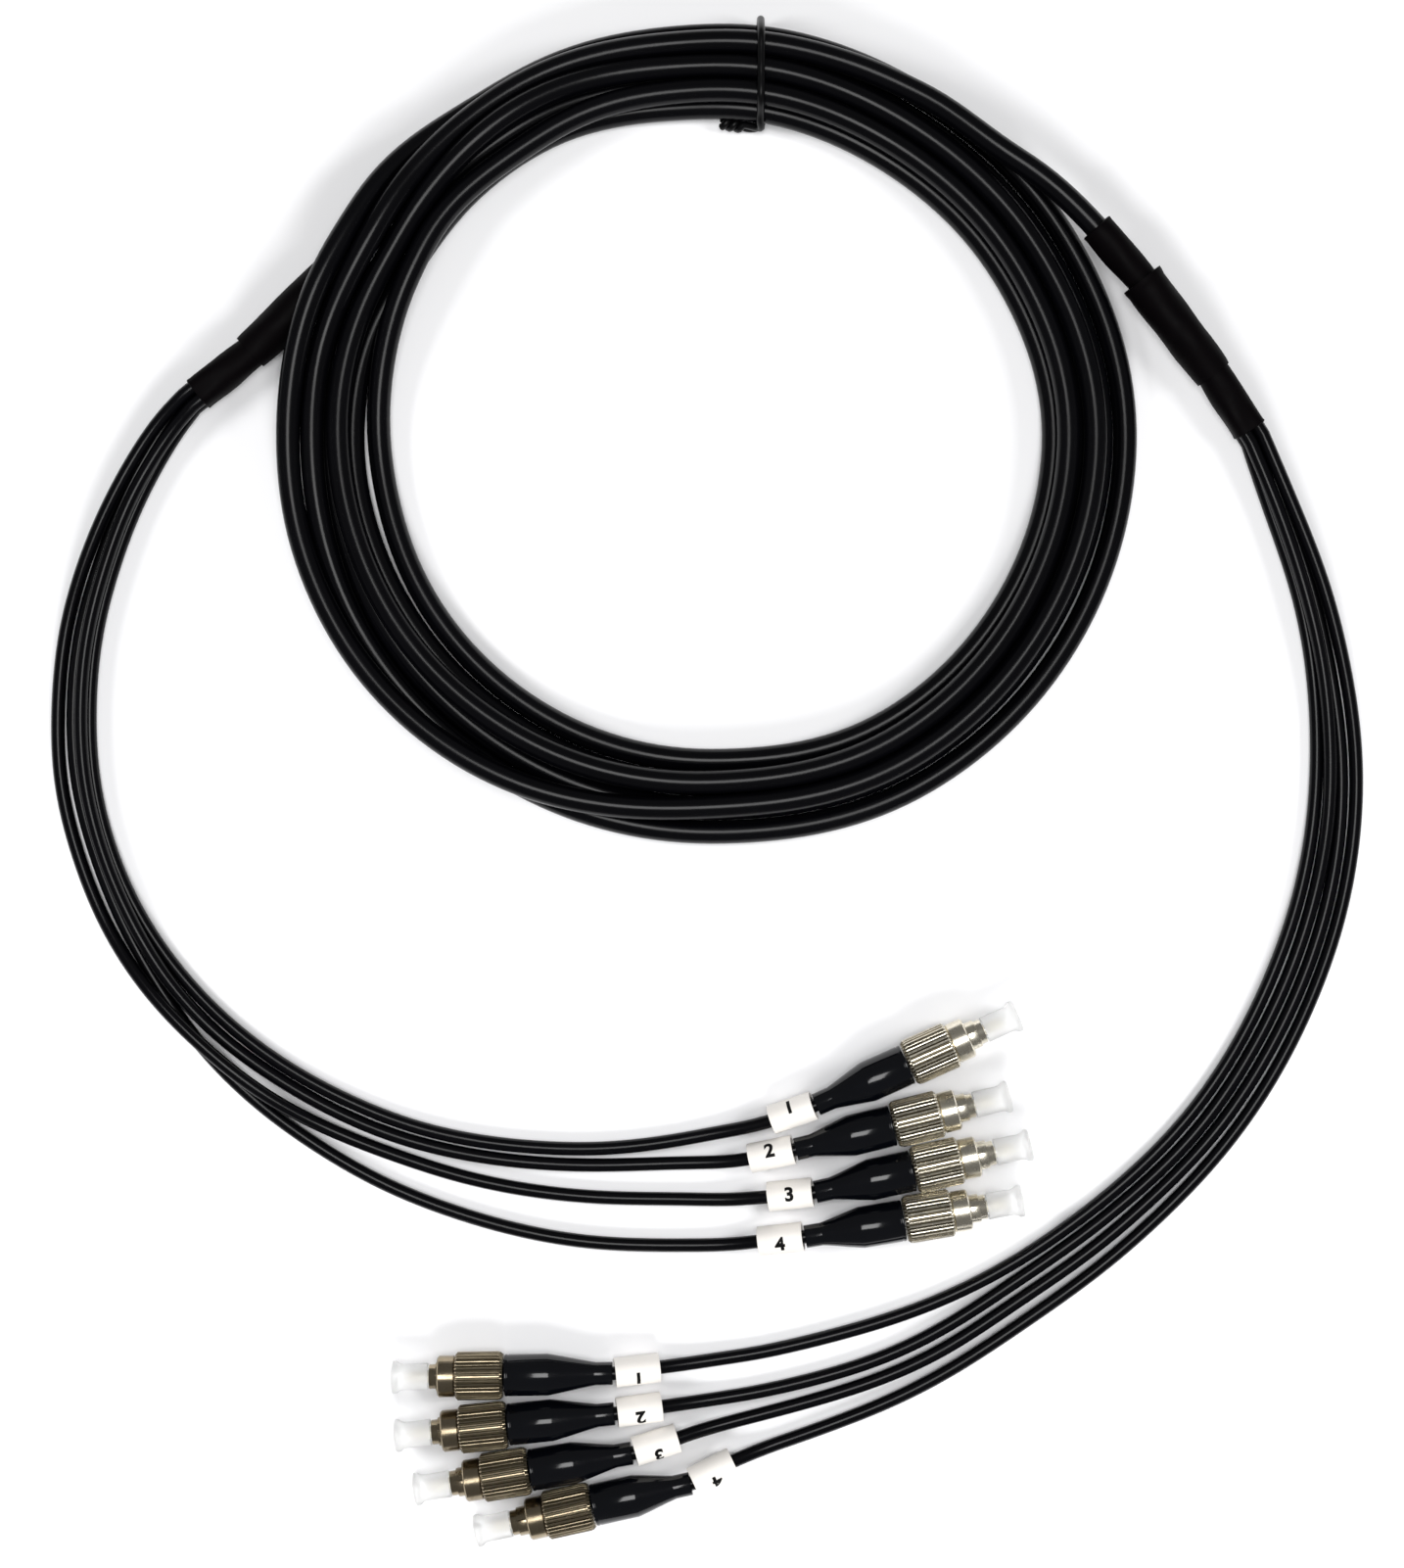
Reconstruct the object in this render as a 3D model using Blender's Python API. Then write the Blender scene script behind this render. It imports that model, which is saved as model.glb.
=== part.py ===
"""Fibre breakout cable: a round trunk cable wound in a flat coil, split at both ends
into four single-fibre legs, each with a number marker, a boot, a screw-on connector
and a dust cap. Metres, +Z up, the cable lies on the plane z = 0."""
import math

import bmesh
import bpy
from mathutils import Matrix, Vector

# Clearance kept between neighbouring pieces
GAP = 0.0003

# Trunk cable and the coil that it is wound into
TRUNK_DIAMETER = 0.0050
COIL_INNER_RADIUS = 0.0678
COIL_LANES = 4
LANE_SPACING = 0.0051
COIL_OVAL = 0.0225
COIL_CENTRE = Vector((0.0006, 0.0734, 0.0))
COIL_WIDTH = COIL_LANES * LANE_SPACING
COIL_EDGE = 0.0009
COIL_SHOULDER = 0.0051
COIL_TOP = TRUNK_DIAMETER * (1 + math.sin(math.radians(60)))
UPPER_LAYER_IN = 0.5 * LANE_SPACING
UPPER_LAYER_OUT = 2.7 * LANE_SPACING

# Rise of the outer turns where they lie on the left breakout
RISE_ANGLE = math.radians(153)
RISE_FLAT = math.radians(15)
RISE_RAMP = math.radians(30)
RISE_FROM_LANE = 1.2
RISE_FULL_LANE = 2.3

# Wire tie around the coil, with its route along the turns, across them and up
TIE_ANGLE = math.radians(82)
TIE_WIRE_DIAMETER = 0.0016
TIE_POINT_SPACING = 0.0019
TIE_ROUTE = [
    (0.0063, -0.0029, 0.0008), (0.0021, -0.0022, 0.0008), (0.0000, 0.0000, 0.0008),
    (0.0000, 0.0102, 0.0008), (0.0000, 0.0204, 0.0008), (0.0000, 0.0215, 0.0022),
    (0.0000, 0.0215, 0.0045), (0.0000, 0.0199, 0.0064), (0.0000, 0.0159, 0.0073),
    (0.0000, 0.0144, 0.0103), (0.0000, 0.0082, 0.0109), (0.0000, 0.0022, 0.0103),
    (0.0000, 0.0011, 0.0068), (0.0000, -0.0014, 0.0050), (0.0005, -0.0022, 0.0036),
    (0.0021, -0.0026, 0.0027), (0.0063, -0.0029, 0.0027),
]

# Heat-shrink sleeves of the two breakouts
WIDE_SLEEVE_DIAMETER = 0.0087
WIDE_SLEEVE_LENGTH = 0.0250
TRUNK_SLEEVE_DIAMETER = 0.0070
TRUNK_SLEEVE_LENGTH = 0.0140
LEG_SLEEVE_DIAMETER = 0.0074
LEG_SLEEVE_LENGTH = 0.0135
SLEEVE_EDGE = 0.0004

# Legs, and where the four of them leave a sleeve
LEG_DIAMETER = 0.0029
LEG_PACK_PITCH = 0.0031
LEG_POINT_SPACING = 0.0087
LEG_STRAIGHT_RUN = 0.0020

# Loose number markers
MARKER_DIAMETER = 0.0062
MARKER_WALL = 0.0005
MARKER_LENGTH = 0.0095

# Boot
BOOT_LENGTH = 0.0210
BOOT_DIAMETER = 0.0087
BOOT_TIP_DIAMETER = 0.0048
BOOT_STRAIGHT = 0.0090
BOOT_TIP_STRAIGHT = 0.0035

# Coupling nut
NUT_DIAMETER = 0.0100
NUT_KNURL_LENGTH = 0.0100
NUT_NECK_DIAMETER = 0.0086
NUT_NECK_LENGTH = 0.0038
NUT_THREAD_DIAMETER = 0.0077
NUT_BACK_WALL = 0.0020

# Connector body and ferrule
BARREL_DIAMETER = 0.0059
BARREL_FRONT = 0.0386
FLANGE_DIAMETER = 0.0068
FLANGE_LENGTH = 0.0015
FERRULE_DIAMETER = 0.0025
FERRULE_LENGTH = 0.0045

# Dust cap
CAP_DIAMETER = 0.0055
CAP_RIM_DIAMETER = 0.0067
CAP_LENGTH = 0.0075
CAP_RIM_LENGTH = 0.0010
CAP_END_WALL = 0.0025

# Fineness of the round forms
COIL_SEGMENTS = 64
NUT_SEGMENTS = 20
ROUND_SEGMENTS = 16
SMALL_SEGMENTS = 12
TUNNEL_STEPS = 10
BOOT_TAPER_STEPS = 4
ROUTE_STEPS = 40
SMOOTH_ANGLE = math.radians(40)

# Places of the two breakouts: where the centre of the wide sleeve lies round the coil and
# beyond its outer edge, heading towards the legs, bends of the narrow sleeves, how far the
# axis dips towards the legs, and the centre's height
BREAKOUTS = {
    "left": {"angle": 162.9, "beyond": 0.0018, "heading": 223.6, "leg_bend": -5.0,
             "trunk_bend": 6.0, "dip": 0.0, "height": WIDE_SLEEVE_DIAMETER / 2},
    "right": {"angle": 13.4, "beyond": 0.0108, "heading": -51.7, "leg_bend": -4.5,
              "trunk_bend": 4.0, "dip": 4.5, "height": 0.0058},
}

# Places of the connectors: tip of the boot, heading of the axis, how far the nut
# stands forward on its body, and the marker's distance from the boot
CONNECTORS = {
    "a1": {"tip": (0.0230, -0.0680), "heading": 24.0, "forward": 0.0, "marker": 0.0005},
    "a2": {"tip": (0.0187, -0.0774), "heading": 14.0, "forward": 0.0, "marker": 0.0005},
    "a3": {"tip": (0.0228, -0.0864), "heading": 12.5, "forward": 0.0, "marker": 0.0015},
    "a4": {"tip": (0.0207, -0.0958), "heading": 9.5, "forward": 0.0, "marker": 0.0008},
    "b1": {"tip": (-0.0199, -0.1246), "heading": 181.0, "forward": 0.0017, "marker": 0.0004},
    "b2": {"tip": (-0.0195, -0.1331), "heading": 185.8, "forward": 0.0014, "marker": 0.0010},
    "b3": {"tip": (-0.0158, -0.1414), "heading": 189.5, "forward": 0.0006, "marker": 0.0008},
    "b4": {"tip": (-0.0034, -0.1478), "heading": 192.5, "forward": 0.0, "marker": 0.0004},
}

# Place of each leg in the pack of four at the sleeve: outwards and upwards
PACK_PLACES = {
    "a1": (-1, -1), "a2": (-1, 1), "a3": (1, 1), "a4": (1, -1),
    "b1": (-1, -1), "b2": (-1, 1), "b3": (1, -1), "b4": (1, 1),
}

# Routes of the legs between the sleeve and the boot
LEG_ROUTES = {
    "a1": [
        (-0.1128, 0.0734, 0.0018), (-0.1201, 0.0605, 0.0015), (-0.1256, 0.0465, 0.0015),
        (-0.1294, 0.0319, 0.0015), (-0.1309, 0.0167, 0.0015), (-0.1302, 0.0013, 0.0015),
        (-0.1267, -0.0138, 0.0015), (-0.1205, -0.0279, 0.0015), (-0.1118, -0.0406, 0.0015),
        (-0.1012, -0.0515, 0.0015), (-0.0891, -0.0605, 0.0015), (-0.0762, -0.0675, 0.0015),
        (-0.0627, -0.0728, 0.0015), (-0.0489, -0.0760, 0.0015), (-0.0350, -0.0775, 0.0015),
        (-0.0212, -0.0776, 0.0015), (-0.0076, -0.0761, 0.0015), (0.0027, -0.0742, 0.0019),
        (0.0099, -0.0726, 0.0030), (0.0174, -0.0702, 0.0044),
    ],
    "a2": [
        (-0.1132, 0.0736, 0.0048), (-0.1211, 0.0608, 0.0044), (-0.1267, 0.0467, 0.0044),
        (-0.1306, 0.0320, 0.0043), (-0.1322, 0.0165, 0.0043), (-0.1314, 0.0009, 0.0043),
        (-0.1278, -0.0143, 0.0043), (-0.1218, -0.0287, 0.0042), (-0.1138, -0.0421, 0.0033),
        (-0.1035, -0.0536, 0.0018), (-0.0911, -0.0628, 0.0015), (-0.0779, -0.0702, 0.0015),
        (-0.0640, -0.0757, 0.0015), (-0.0497, -0.0791, 0.0015), (-0.0354, -0.0808, 0.0015),
        (-0.0212, -0.0812, 0.0015), (-0.0070, -0.0808, 0.0015), (0.0033, -0.0804, 0.0022),
        (0.0089, -0.0796, 0.0032), (0.0140, -0.0784, 0.0045),
    ],
    "a3": [
        (-0.1162, 0.0753, 0.0047), (-0.1245, 0.0622, 0.0041), (-0.1311, 0.0479, 0.0032),
        (-0.1358, 0.0326, 0.0018), (-0.1376, 0.0164, 0.0015), (-0.1370, 0.0001, 0.0015),
        (-0.1332, -0.0159, 0.0015), (-0.1268, -0.0310, 0.0021), (-0.1173, -0.0445, 0.0043),
        (-0.1060, -0.0560, 0.0048), (-0.0935, -0.0659, 0.0040), (-0.0800, -0.0736, 0.0018),
        (-0.0656, -0.0793, 0.0015), (-0.0511, -0.0838, 0.0015), (-0.0363, -0.0867, 0.0015),
        (-0.0212, -0.0881, 0.0015), (-0.0059, -0.0884, 0.0015), (0.0048, -0.0884, 0.0020),
        (0.0116, -0.0878, 0.0031), (0.0178, -0.0872, 0.0044),
    ],
    "a4": [
        (-0.1154, 0.0749, 0.0018), (-0.1230, 0.0616, 0.0015), (-0.1286, 0.0473, 0.0015),
        (-0.1327, 0.0322, 0.0015), (-0.1344, 0.0166, 0.0015), (-0.1336, 0.0007, 0.0015),
        (-0.1298, -0.0148, 0.0015), (-0.1239, -0.0296, 0.0015), (-0.1161, -0.0436, 0.0015),
        (-0.1067, -0.0565, 0.0015), (-0.0953, -0.0678, 0.0015), (-0.0823, -0.0773, 0.0015),
        (-0.0683, -0.0852, 0.0015), (-0.0532, -0.0912, 0.0015), (-0.0375, -0.0955, 0.0015),
        (-0.0212, -0.0978, 0.0015), (-0.0045, -0.0982, 0.0015), (0.0048, -0.0979, 0.0020),
        (0.0110, -0.0971, 0.0031), (0.0161, -0.0964, 0.0045),
    ],
    "b1": [
        (0.1195, 0.0577, 0.0015), (0.1249, 0.0416, 0.0015), (0.1283, 0.0250, 0.0015),
        (0.1294, 0.0081, 0.0015), (0.1285, -0.0089, 0.0015), (0.1252, -0.0256, 0.0015),
        (0.1195, -0.0417, 0.0015), (0.1119, -0.0569, 0.0015), (0.1021, -0.0710, 0.0015),
        (0.0902, -0.0833, 0.0015), (0.0768, -0.0941, 0.0015), (0.0623, -0.1035, 0.0015),
        (0.0466, -0.1110, 0.0015), (0.0298, -0.1165, 0.0015), (0.0124, -0.1207, 0.0015),
        (0.0037, -0.1221, 0.0017), (-0.0046, -0.1232, 0.0023), (-0.0112, -0.1238, 0.0034),
        (-0.0159, -0.1242, 0.0045),
    ],
    "b2": [
        (0.1204, 0.0581, 0.0044), (0.1259, 0.0418, 0.0044), (0.1299, 0.0251, 0.0041),
        (0.1317, 0.0080, 0.0035), (0.1313, -0.0093, 0.0027), (0.1282, -0.0265, 0.0016),
        (0.1225, -0.0430, 0.0015), (0.1146, -0.0586, 0.0015), (0.1046, -0.0731, 0.0015),
        (0.0923, -0.0857, 0.0015), (0.0786, -0.0968, 0.0015), (0.0640, -0.1069, 0.0015),
        (0.0484, -0.1167, 0.0015), (0.0312, -0.1241, 0.0015), (0.0127, -0.1289, 0.0015),
        (0.0048, -0.1303, 0.0016), (-0.0035, -0.1314, 0.0023), (-0.0104, -0.1321, 0.0036),
        (-0.0153, -0.1327, 0.0046),
    ],
    "b3": [
        (0.1223, 0.0590, 0.0015), (0.1279, 0.0424, 0.0015), (0.1319, 0.0255, 0.0015),
        (0.1343, 0.0080, 0.0015), (0.1342, -0.0097, 0.0015), (0.1312, -0.0273, 0.0015),
        (0.1254, -0.0443, 0.0015), (0.1173, -0.0603, 0.0015), (0.1070, -0.0751, 0.0015),
        (0.0945, -0.0881, 0.0015), (0.0807, -0.0998, 0.0015), (0.0656, -0.1103, 0.0015),
        (0.0497, -0.1205, 0.0015), (0.0319, -0.1282, 0.0015), (0.0128, -0.1337, 0.0015),
        (0.0048, -0.1357, 0.0018), (-0.0015, -0.1373, 0.0026), (-0.0066, -0.1388, 0.0037),
        (-0.0114, -0.1405, 0.0046),
    ],
    "b4": [
        (0.1233, 0.0594, 0.0044), (0.1298, 0.0430, 0.0038), (0.1345, 0.0258, 0.0032),
        (0.1373, 0.0080, 0.0023), (0.1373, -0.0101, 0.0016), (0.1342, -0.0282, 0.0015),
        (0.1283, -0.0456, 0.0015), (0.1201, -0.0621, 0.0015), (0.1096, -0.0773, 0.0015),
        (0.0970, -0.0909, 0.0015), (0.0829, -0.1032, 0.0015), (0.0675, -0.1143, 0.0015),
        (0.0511, -0.1249, 0.0015), (0.0329, -0.1337, 0.0015), (0.0131, -0.1409, 0.0016),
        (0.0062, -0.1433, 0.0031), (0.0019, -0.1451, 0.0043),
    ],
}

# Route of the trunk from the coil's outer shoulder to the right breakout: the angle round
# the coil, the distance beyond its outer edge, and the height
TRUNK_LEAD_ROUTE = [(45.7, -0.0030, 0.0081), (40.0, -0.0012, 0.0081), (34.5, 0.0006, 0.0081)]

COLOURS = {
    "jacket": ((0.012, 0.012, 0.014), 0.35, 0.0),
    "sleeve": ((0.010, 0.009, 0.010), 0.75, 0.0),
    "boot": ((0.012, 0.012, 0.014), 0.30, 0.0),
    "marker": ((0.86, 0.86, 0.85), 0.55, 0.0),
    "nickel": ((0.62, 0.58, 0.50), 0.28, 1.0),
    "cap": ((0.88, 0.88, 0.86), 0.40, 0.0),
    "wire": ((0.010, 0.010, 0.011), 0.45, 0.0),
}


def clear_scene():
    for item in list(bpy.data.objects):
        bpy.data.objects.remove(item, do_unlink=True)


def make_materials():
    made = {}
    for name, (colour, roughness, metallic) in COLOURS.items():
        material = bpy.data.materials.new(name)
        material.use_nodes = True
        shader = material.node_tree.nodes["Principled BSDF"]
        shader.inputs["Base Color"].default_value = (*colour, 1.0)
        shader.inputs["Roughness"].default_value = roughness
        shader.inputs["Metallic"].default_value = metallic
        made[name] = material
    return made


def finish_mesh(name, mesh_data, material):
    """Turn a bmesh into an object with its material and its shading."""
    mesh = bpy.data.meshes.new(name)
    mesh_data.to_mesh(mesh)
    mesh_data.free()
    mesh.materials.append(material)
    mesh.shade_smooth()
    mesh.set_sharp_from_angle(angle=SMOOTH_ANGLE)
    item = bpy.data.objects.new(name, mesh)
    bpy.context.collection.objects.link(item)
    return item


def turned_solid(profile, segments, closed=False):
    """Spin points (x, radius) about X. A closed profile makes a ring-shaped solid."""
    solid = bmesh.new()
    points = [solid.verts.new((x, radius, 0.0)) for x, radius in profile]
    edges = [solid.edges.new(pair) for pair in zip(points, points[1:])]
    if closed:
        edges.append(solid.edges.new((points[-1], points[0])))
    bmesh.ops.spin(solid, geom=points + edges, cent=(0, 0, 0), axis=(1, 0, 0),
                   angle=math.tau, steps=segments, use_merge=True)
    bmesh.ops.remove_doubles(solid, verts=solid.verts[:], dist=1e-6)
    bmesh.ops.recalc_face_normals(solid, faces=solid.faces[:])
    return solid


def smooth_route(points, spacing, lowest):
    """Even points along the natural cubic curve through the route's own points."""
    knots = [0.0]
    for start, end in zip(points, points[1:]):
        knots.append(knots[-1] + math.sqrt((Vector(end) - Vector(start)).length))
    axes = [spline_bends(knots, [point[axis] for point in points]) for axis in range(3)]
    steps = ROUTE_STEPS * (len(points) - 1)
    fine = []
    for step in range(steps + 1):
        at = knots[-1] * step / steps
        place = [spline_value(knots, [point[axis] for point in points], axes[axis], at)
                 for axis in range(3)]
        fine.append(Vector((place[0], place[1], max(place[2], lowest))))
    lengths = [0.0]
    for start, end in zip(fine, fine[1:]):
        lengths.append(lengths[-1] + (end - start).length)
    count = max(2, math.ceil(lengths[-1] / spacing))
    even = []
    index = 0
    for number in range(count + 1):
        wanted = lengths[-1] * number / count
        while index < len(fine) - 2 and lengths[index + 1] < wanted:
            index += 1
        share = (wanted - lengths[index]) / (lengths[index + 1] - lengths[index])
        even.append(fine[index].lerp(fine[index + 1], share))
    return even


def spline_bends(knots, values):
    """Second derivatives of the natural cubic spline through values at knots."""
    count = len(knots)
    upper = [0.0] * count
    right = [0.0] * count
    for i in range(1, count - 1):
        before = knots[i] - knots[i - 1]
        after = knots[i + 1] - knots[i]
        slope = 6 * ((values[i + 1] - values[i]) / after - (values[i] - values[i - 1]) / before)
        pivot = 2 * (before + after) - before * upper[i - 1]
        upper[i] = after / pivot
        right[i] = (slope - before * right[i - 1]) / pivot
    bends = [0.0] * count
    for i in range(count - 2, 0, -1):
        bends[i] = right[i] - upper[i] * bends[i + 1]
    return bends


def spline_value(knots, values, bends, at):
    i = 0
    while i < len(knots) - 2 and at > knots[i + 1]:
        i += 1
    span = knots[i + 1] - knots[i]
    a = (knots[i + 1] - at) / span
    b = (at - knots[i]) / span
    curve = (a ** 3 - a) * bends[i] + (b ** 3 - b) * bends[i + 1]
    return a * values[i] + b * values[i + 1] + curve * span * span / 6


def make_tube(name, points, diameter, material):
    """A round cord through the points, with flat closed ends."""
    curve = bpy.data.curves.new(name, "CURVE")
    curve.dimensions = "3D"
    curve.bevel_depth = diameter / 2
    curve.bevel_resolution = 2
    curve.use_fill_caps = True
    spline = curve.splines.new("POLY")
    spline.points.add(len(points) - 1)
    for target, point in zip(spline.points, points):
        target.co = (*point, 1.0)
    curve.materials.append(material)
    item = bpy.data.objects.new(name, curve)
    bpy.context.collection.objects.link(item)
    return item


def coil_section():
    """Outline of the wound turns: across the coil from its bore, and up."""
    return [
        (COIL_EDGE, 0.0), (COIL_WIDTH - COIL_EDGE, 0.0), (COIL_WIDTH, COIL_EDGE),
        (COIL_WIDTH, COIL_SHOULDER - COIL_EDGE), (COIL_WIDTH - COIL_EDGE, COIL_SHOULDER),
        (UPPER_LAYER_OUT + COIL_EDGE, COIL_SHOULDER), (UPPER_LAYER_OUT - COIL_EDGE / 2, COIL_TOP),
        (UPPER_LAYER_IN + COIL_EDGE, COIL_TOP), (UPPER_LAYER_IN, COIL_SHOULDER),
        (0.0, COIL_SHOULDER - COIL_EDGE), (0.0, COIL_EDGE),
    ]


def oval(angle, radius, height):
    """A point of the slightly oval coil."""
    x = radius * math.cos(angle) * (1 + COIL_OVAL)
    y = radius * math.sin(angle) * (1 - COIL_OVAL)
    return COIL_CENTRE + Vector((x, y, height))


def beside_coil(degrees, beyond, height):
    """A point at an angle round the coil, beyond its outer edge."""
    return oval(math.radians(degrees), COIL_INNER_RADIUS + COIL_WIDTH + beyond, height)


def rise_share(angle):
    """How far the turns are raised at an angle, from 0 to 1."""
    away = abs((angle - RISE_ANGLE + math.pi) % math.tau - math.pi)
    if away <= RISE_FLAT:
        return 1.0
    if away >= RISE_FLAT + RISE_RAMP:
        return 0.0
    return 0.5 + 0.5 * math.cos(math.pi * (away - RISE_FLAT) / RISE_RAMP)


def make_coil(material):
    """The wound trunk as one turned ring, raised where it crosses the left sleeve."""
    section = coil_section()
    crossing_top = WIDE_SLEEVE_DIAMETER + TRUNK_DIAMETER
    ring = bmesh.new()
    points = [ring.verts.new((COIL_INNER_RADIUS + across, 0.0, up)) for across, up in section]
    edges = [ring.edges.new(pair) for pair in zip(points, points[1:] + points[:1])]
    bmesh.ops.spin(ring, geom=points + edges, cent=(0, 0, 0), axis=(0, 0, 1),
                   angle=math.tau, steps=COIL_SEGMENTS, use_merge=True)
    bmesh.ops.remove_doubles(ring, verts=ring.verts[:], dist=1e-6)
    for vertex in ring.verts:
        radius = math.hypot(vertex.co.x, vertex.co.y)
        angle = math.atan2(vertex.co.y, vertex.co.x)
        height = vertex.co.z
        lane = (radius - COIL_INNER_RADIUS) / LANE_SPACING
        share = (lane - RISE_FROM_LANE) / (RISE_FULL_LANE - RISE_FROM_LANE)
        share = min(max(share, 0.0), 1.0)
        if height > COIL_SHOULDER / 2:
            height += (crossing_top - height) * share * rise_share(angle)
        vertex.co = oval(angle, radius, height)
    bmesh.ops.recalc_face_normals(ring, faces=ring.faces[:])
    return finish_mesh("trunk_coil", ring, material)


def make_sleeve(name, start, direction, length, diameter, material):
    radius = diameter / 2
    profile = [(0.0, 0.0), (0.0, radius - SLEEVE_EDGE), (SLEEVE_EDGE, radius),
               (length - SLEEVE_EDGE, radius), (length, radius - SLEEVE_EDGE), (length, 0.0)]
    item = finish_mesh(name, turned_solid(profile, ROUND_SEGMENTS), material)
    item.location = start
    item.rotation_mode = "QUATERNION"
    item.rotation_quaternion = direction.to_track_quat("X", "Z")
    return item


def heading_vector(degrees, dip=0.0):
    """Unit vector at a heading in the floor's plane, dipping below it."""
    flat = math.cos(math.radians(dip))
    turn = math.radians(degrees)
    return Vector((math.cos(turn) * flat, math.sin(turn) * flat, -math.sin(math.radians(dip))))


def butt_gap(radius, bend):
    """Clearance between two end faces whose axes meet at a small bend."""
    return GAP + radius * math.tan(math.radians(abs(bend)))


def breakout_axes(place):
    """Starts and directions of the three sleeves, seen from the wide one."""
    centre = beside_coil(place["angle"], place["beyond"], place["height"])
    along = heading_vector(place["heading"], place["dip"])
    to_legs = heading_vector(place["heading"] + place["leg_bend"], place["dip"])
    to_trunk = -heading_vector(place["heading"] + place["trunk_bend"], place["dip"])
    wide_start = centre - along * WIDE_SLEEVE_LENGTH / 2
    wide_end = centre + along * WIDE_SLEEVE_LENGTH / 2
    leg_start = wide_end + along * butt_gap(LEG_SLEEVE_DIAMETER / 2, place["leg_bend"])
    trunk_start = wide_start - along * butt_gap(TRUNK_SLEEVE_DIAMETER / 2, place["trunk_bend"])
    return {"wide": (wide_start, along), "leg": (leg_start, to_legs),
            "trunk": (trunk_start, to_trunk)}


def make_breakout(side, material):
    axes = breakout_axes(BREAKOUTS[side])
    make_sleeve(f"{side}_breakout_sleeve", *axes["wide"], WIDE_SLEEVE_LENGTH,
                WIDE_SLEEVE_DIAMETER, material)
    make_sleeve(f"{side}_leg_sleeve", *axes["leg"], LEG_SLEEVE_LENGTH,
                LEG_SLEEVE_DIAMETER, material)
    make_sleeve(f"{side}_trunk_sleeve", *axes["trunk"], TRUNK_SLEEVE_LENGTH,
                TRUNK_SLEEVE_DIAMETER, material)


def cut(target, cutter):
    """Subtract a hidden cutter from the target."""
    cutter.hide_render = True
    cutter.display_type = "WIRE"
    boolean = target.modifiers.new(cutter.name, "BOOLEAN")
    boolean.operation = "DIFFERENCE"
    boolean.solver = "EXACT"
    boolean.object = cutter


def make_tunnel_cutter(name, start, direction, length, diameter):
    """Room for a sleeve under the coil: round above, straight down to the floor."""
    radius = diameter / 2 + GAP
    below = -start.z - TRUNK_DIAMETER
    turns = [math.pi * i / TUNNEL_STEPS for i in range(TUNNEL_STEPS + 1)]
    outline = [(radius * math.cos(turn), radius * math.sin(turn)) for turn in turns]
    outline += [(-radius, below), (radius, below)]
    cutter = bmesh.new()
    face = cutter.faces.new([cutter.verts.new((0.0, y, z)) for y, z in outline])
    extruded = bmesh.ops.extrude_face_region(cutter, geom=[face])
    moved = [part for part in extruded["geom"] if isinstance(part, bmesh.types.BMVert)]
    bmesh.ops.translate(cutter, verts=moved, vec=(length, 0.0, 0.0))
    bmesh.ops.recalc_face_normals(cutter, faces=cutter.faces[:])
    mesh = bpy.data.meshes.new(name)
    cutter.to_mesh(mesh)
    cutter.free()
    item = bpy.data.objects.new(name, mesh)
    bpy.context.collection.objects.link(item)
    item.location = start
    item.rotation_mode = "QUATERNION"
    item.rotation_quaternion = direction.to_track_quat("X", "Z")
    return item


def cut_room_for_left_breakout(coil):
    """Open the coil's underside over the left sleeves."""
    axes = breakout_axes(BREAKOUTS["left"])
    wide_start, along = axes["wide"]
    trunk_start, to_trunk = axes["trunk"]
    wide_room = make_tunnel_cutter("wide_sleeve_room", wide_start - along * GAP, along,
                                   WIDE_SLEEVE_LENGTH + LEG_SLEEVE_LENGTH,
                                   WIDE_SLEEVE_DIAMETER)
    narrow_room = make_tunnel_cutter("trunk_sleeve_room", trunk_start - to_trunk * GAP, to_trunk,
                                     TRUNK_SLEEVE_LENGTH + 2 * GAP, TRUNK_SLEEVE_DIAMETER)
    cut(coil, wide_room)
    cut(coil, narrow_room)


def tie_frame():
    """Axes at the tie: along the turns, across them from the bore, and up."""
    foot = oval(TIE_ANGLE, COIL_INNER_RADIUS, 0.0)
    across = (oval(TIE_ANGLE, COIL_INNER_RADIUS + LANE_SPACING, 0.0) - foot).normalized()
    along = Vector((-across.y, across.x, 0.0))
    return foot, along, across


def cut_room_for_tie(coil):
    """A groove in the coil's underside, where the tie's wire passes."""
    foot, along, across = tie_frame()
    room = bmesh.new()
    bmesh.ops.create_cube(room, size=1.0)
    length = COIL_WIDTH + 4 * TIE_WIRE_DIAMETER
    height = 2 * (TIE_WIRE_DIAMETER + GAP)
    size = Matrix.Diagonal((TIE_WIRE_DIAMETER + 2 * GAP, length, height, 1.0))
    bmesh.ops.transform(room, matrix=size, verts=room.verts[:])
    mesh = bpy.data.meshes.new("tie_room")
    room.to_mesh(mesh)
    room.free()
    item = bpy.data.objects.new("tie_room", mesh)
    bpy.context.collection.objects.link(item)
    item.location = foot + across * COIL_WIDTH / 2
    item.rotation_euler = (0.0, 0.0, math.atan2(-along.y, -along.x))
    cut(coil, item)


def make_tie(material):
    """The wire tie: under the coil, up its outer side, over it and back to its tail."""
    foot, along, across = tie_frame()
    route = [foot + along * t + across * u + Vector((0.0, 0.0, z)) for t, u, z in TIE_ROUTE]
    points = smooth_route(route, TIE_POINT_SPACING, TIE_WIRE_DIAMETER / 2)
    return make_tube("coil_tie", points, TIE_WIRE_DIAMETER, material)


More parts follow.
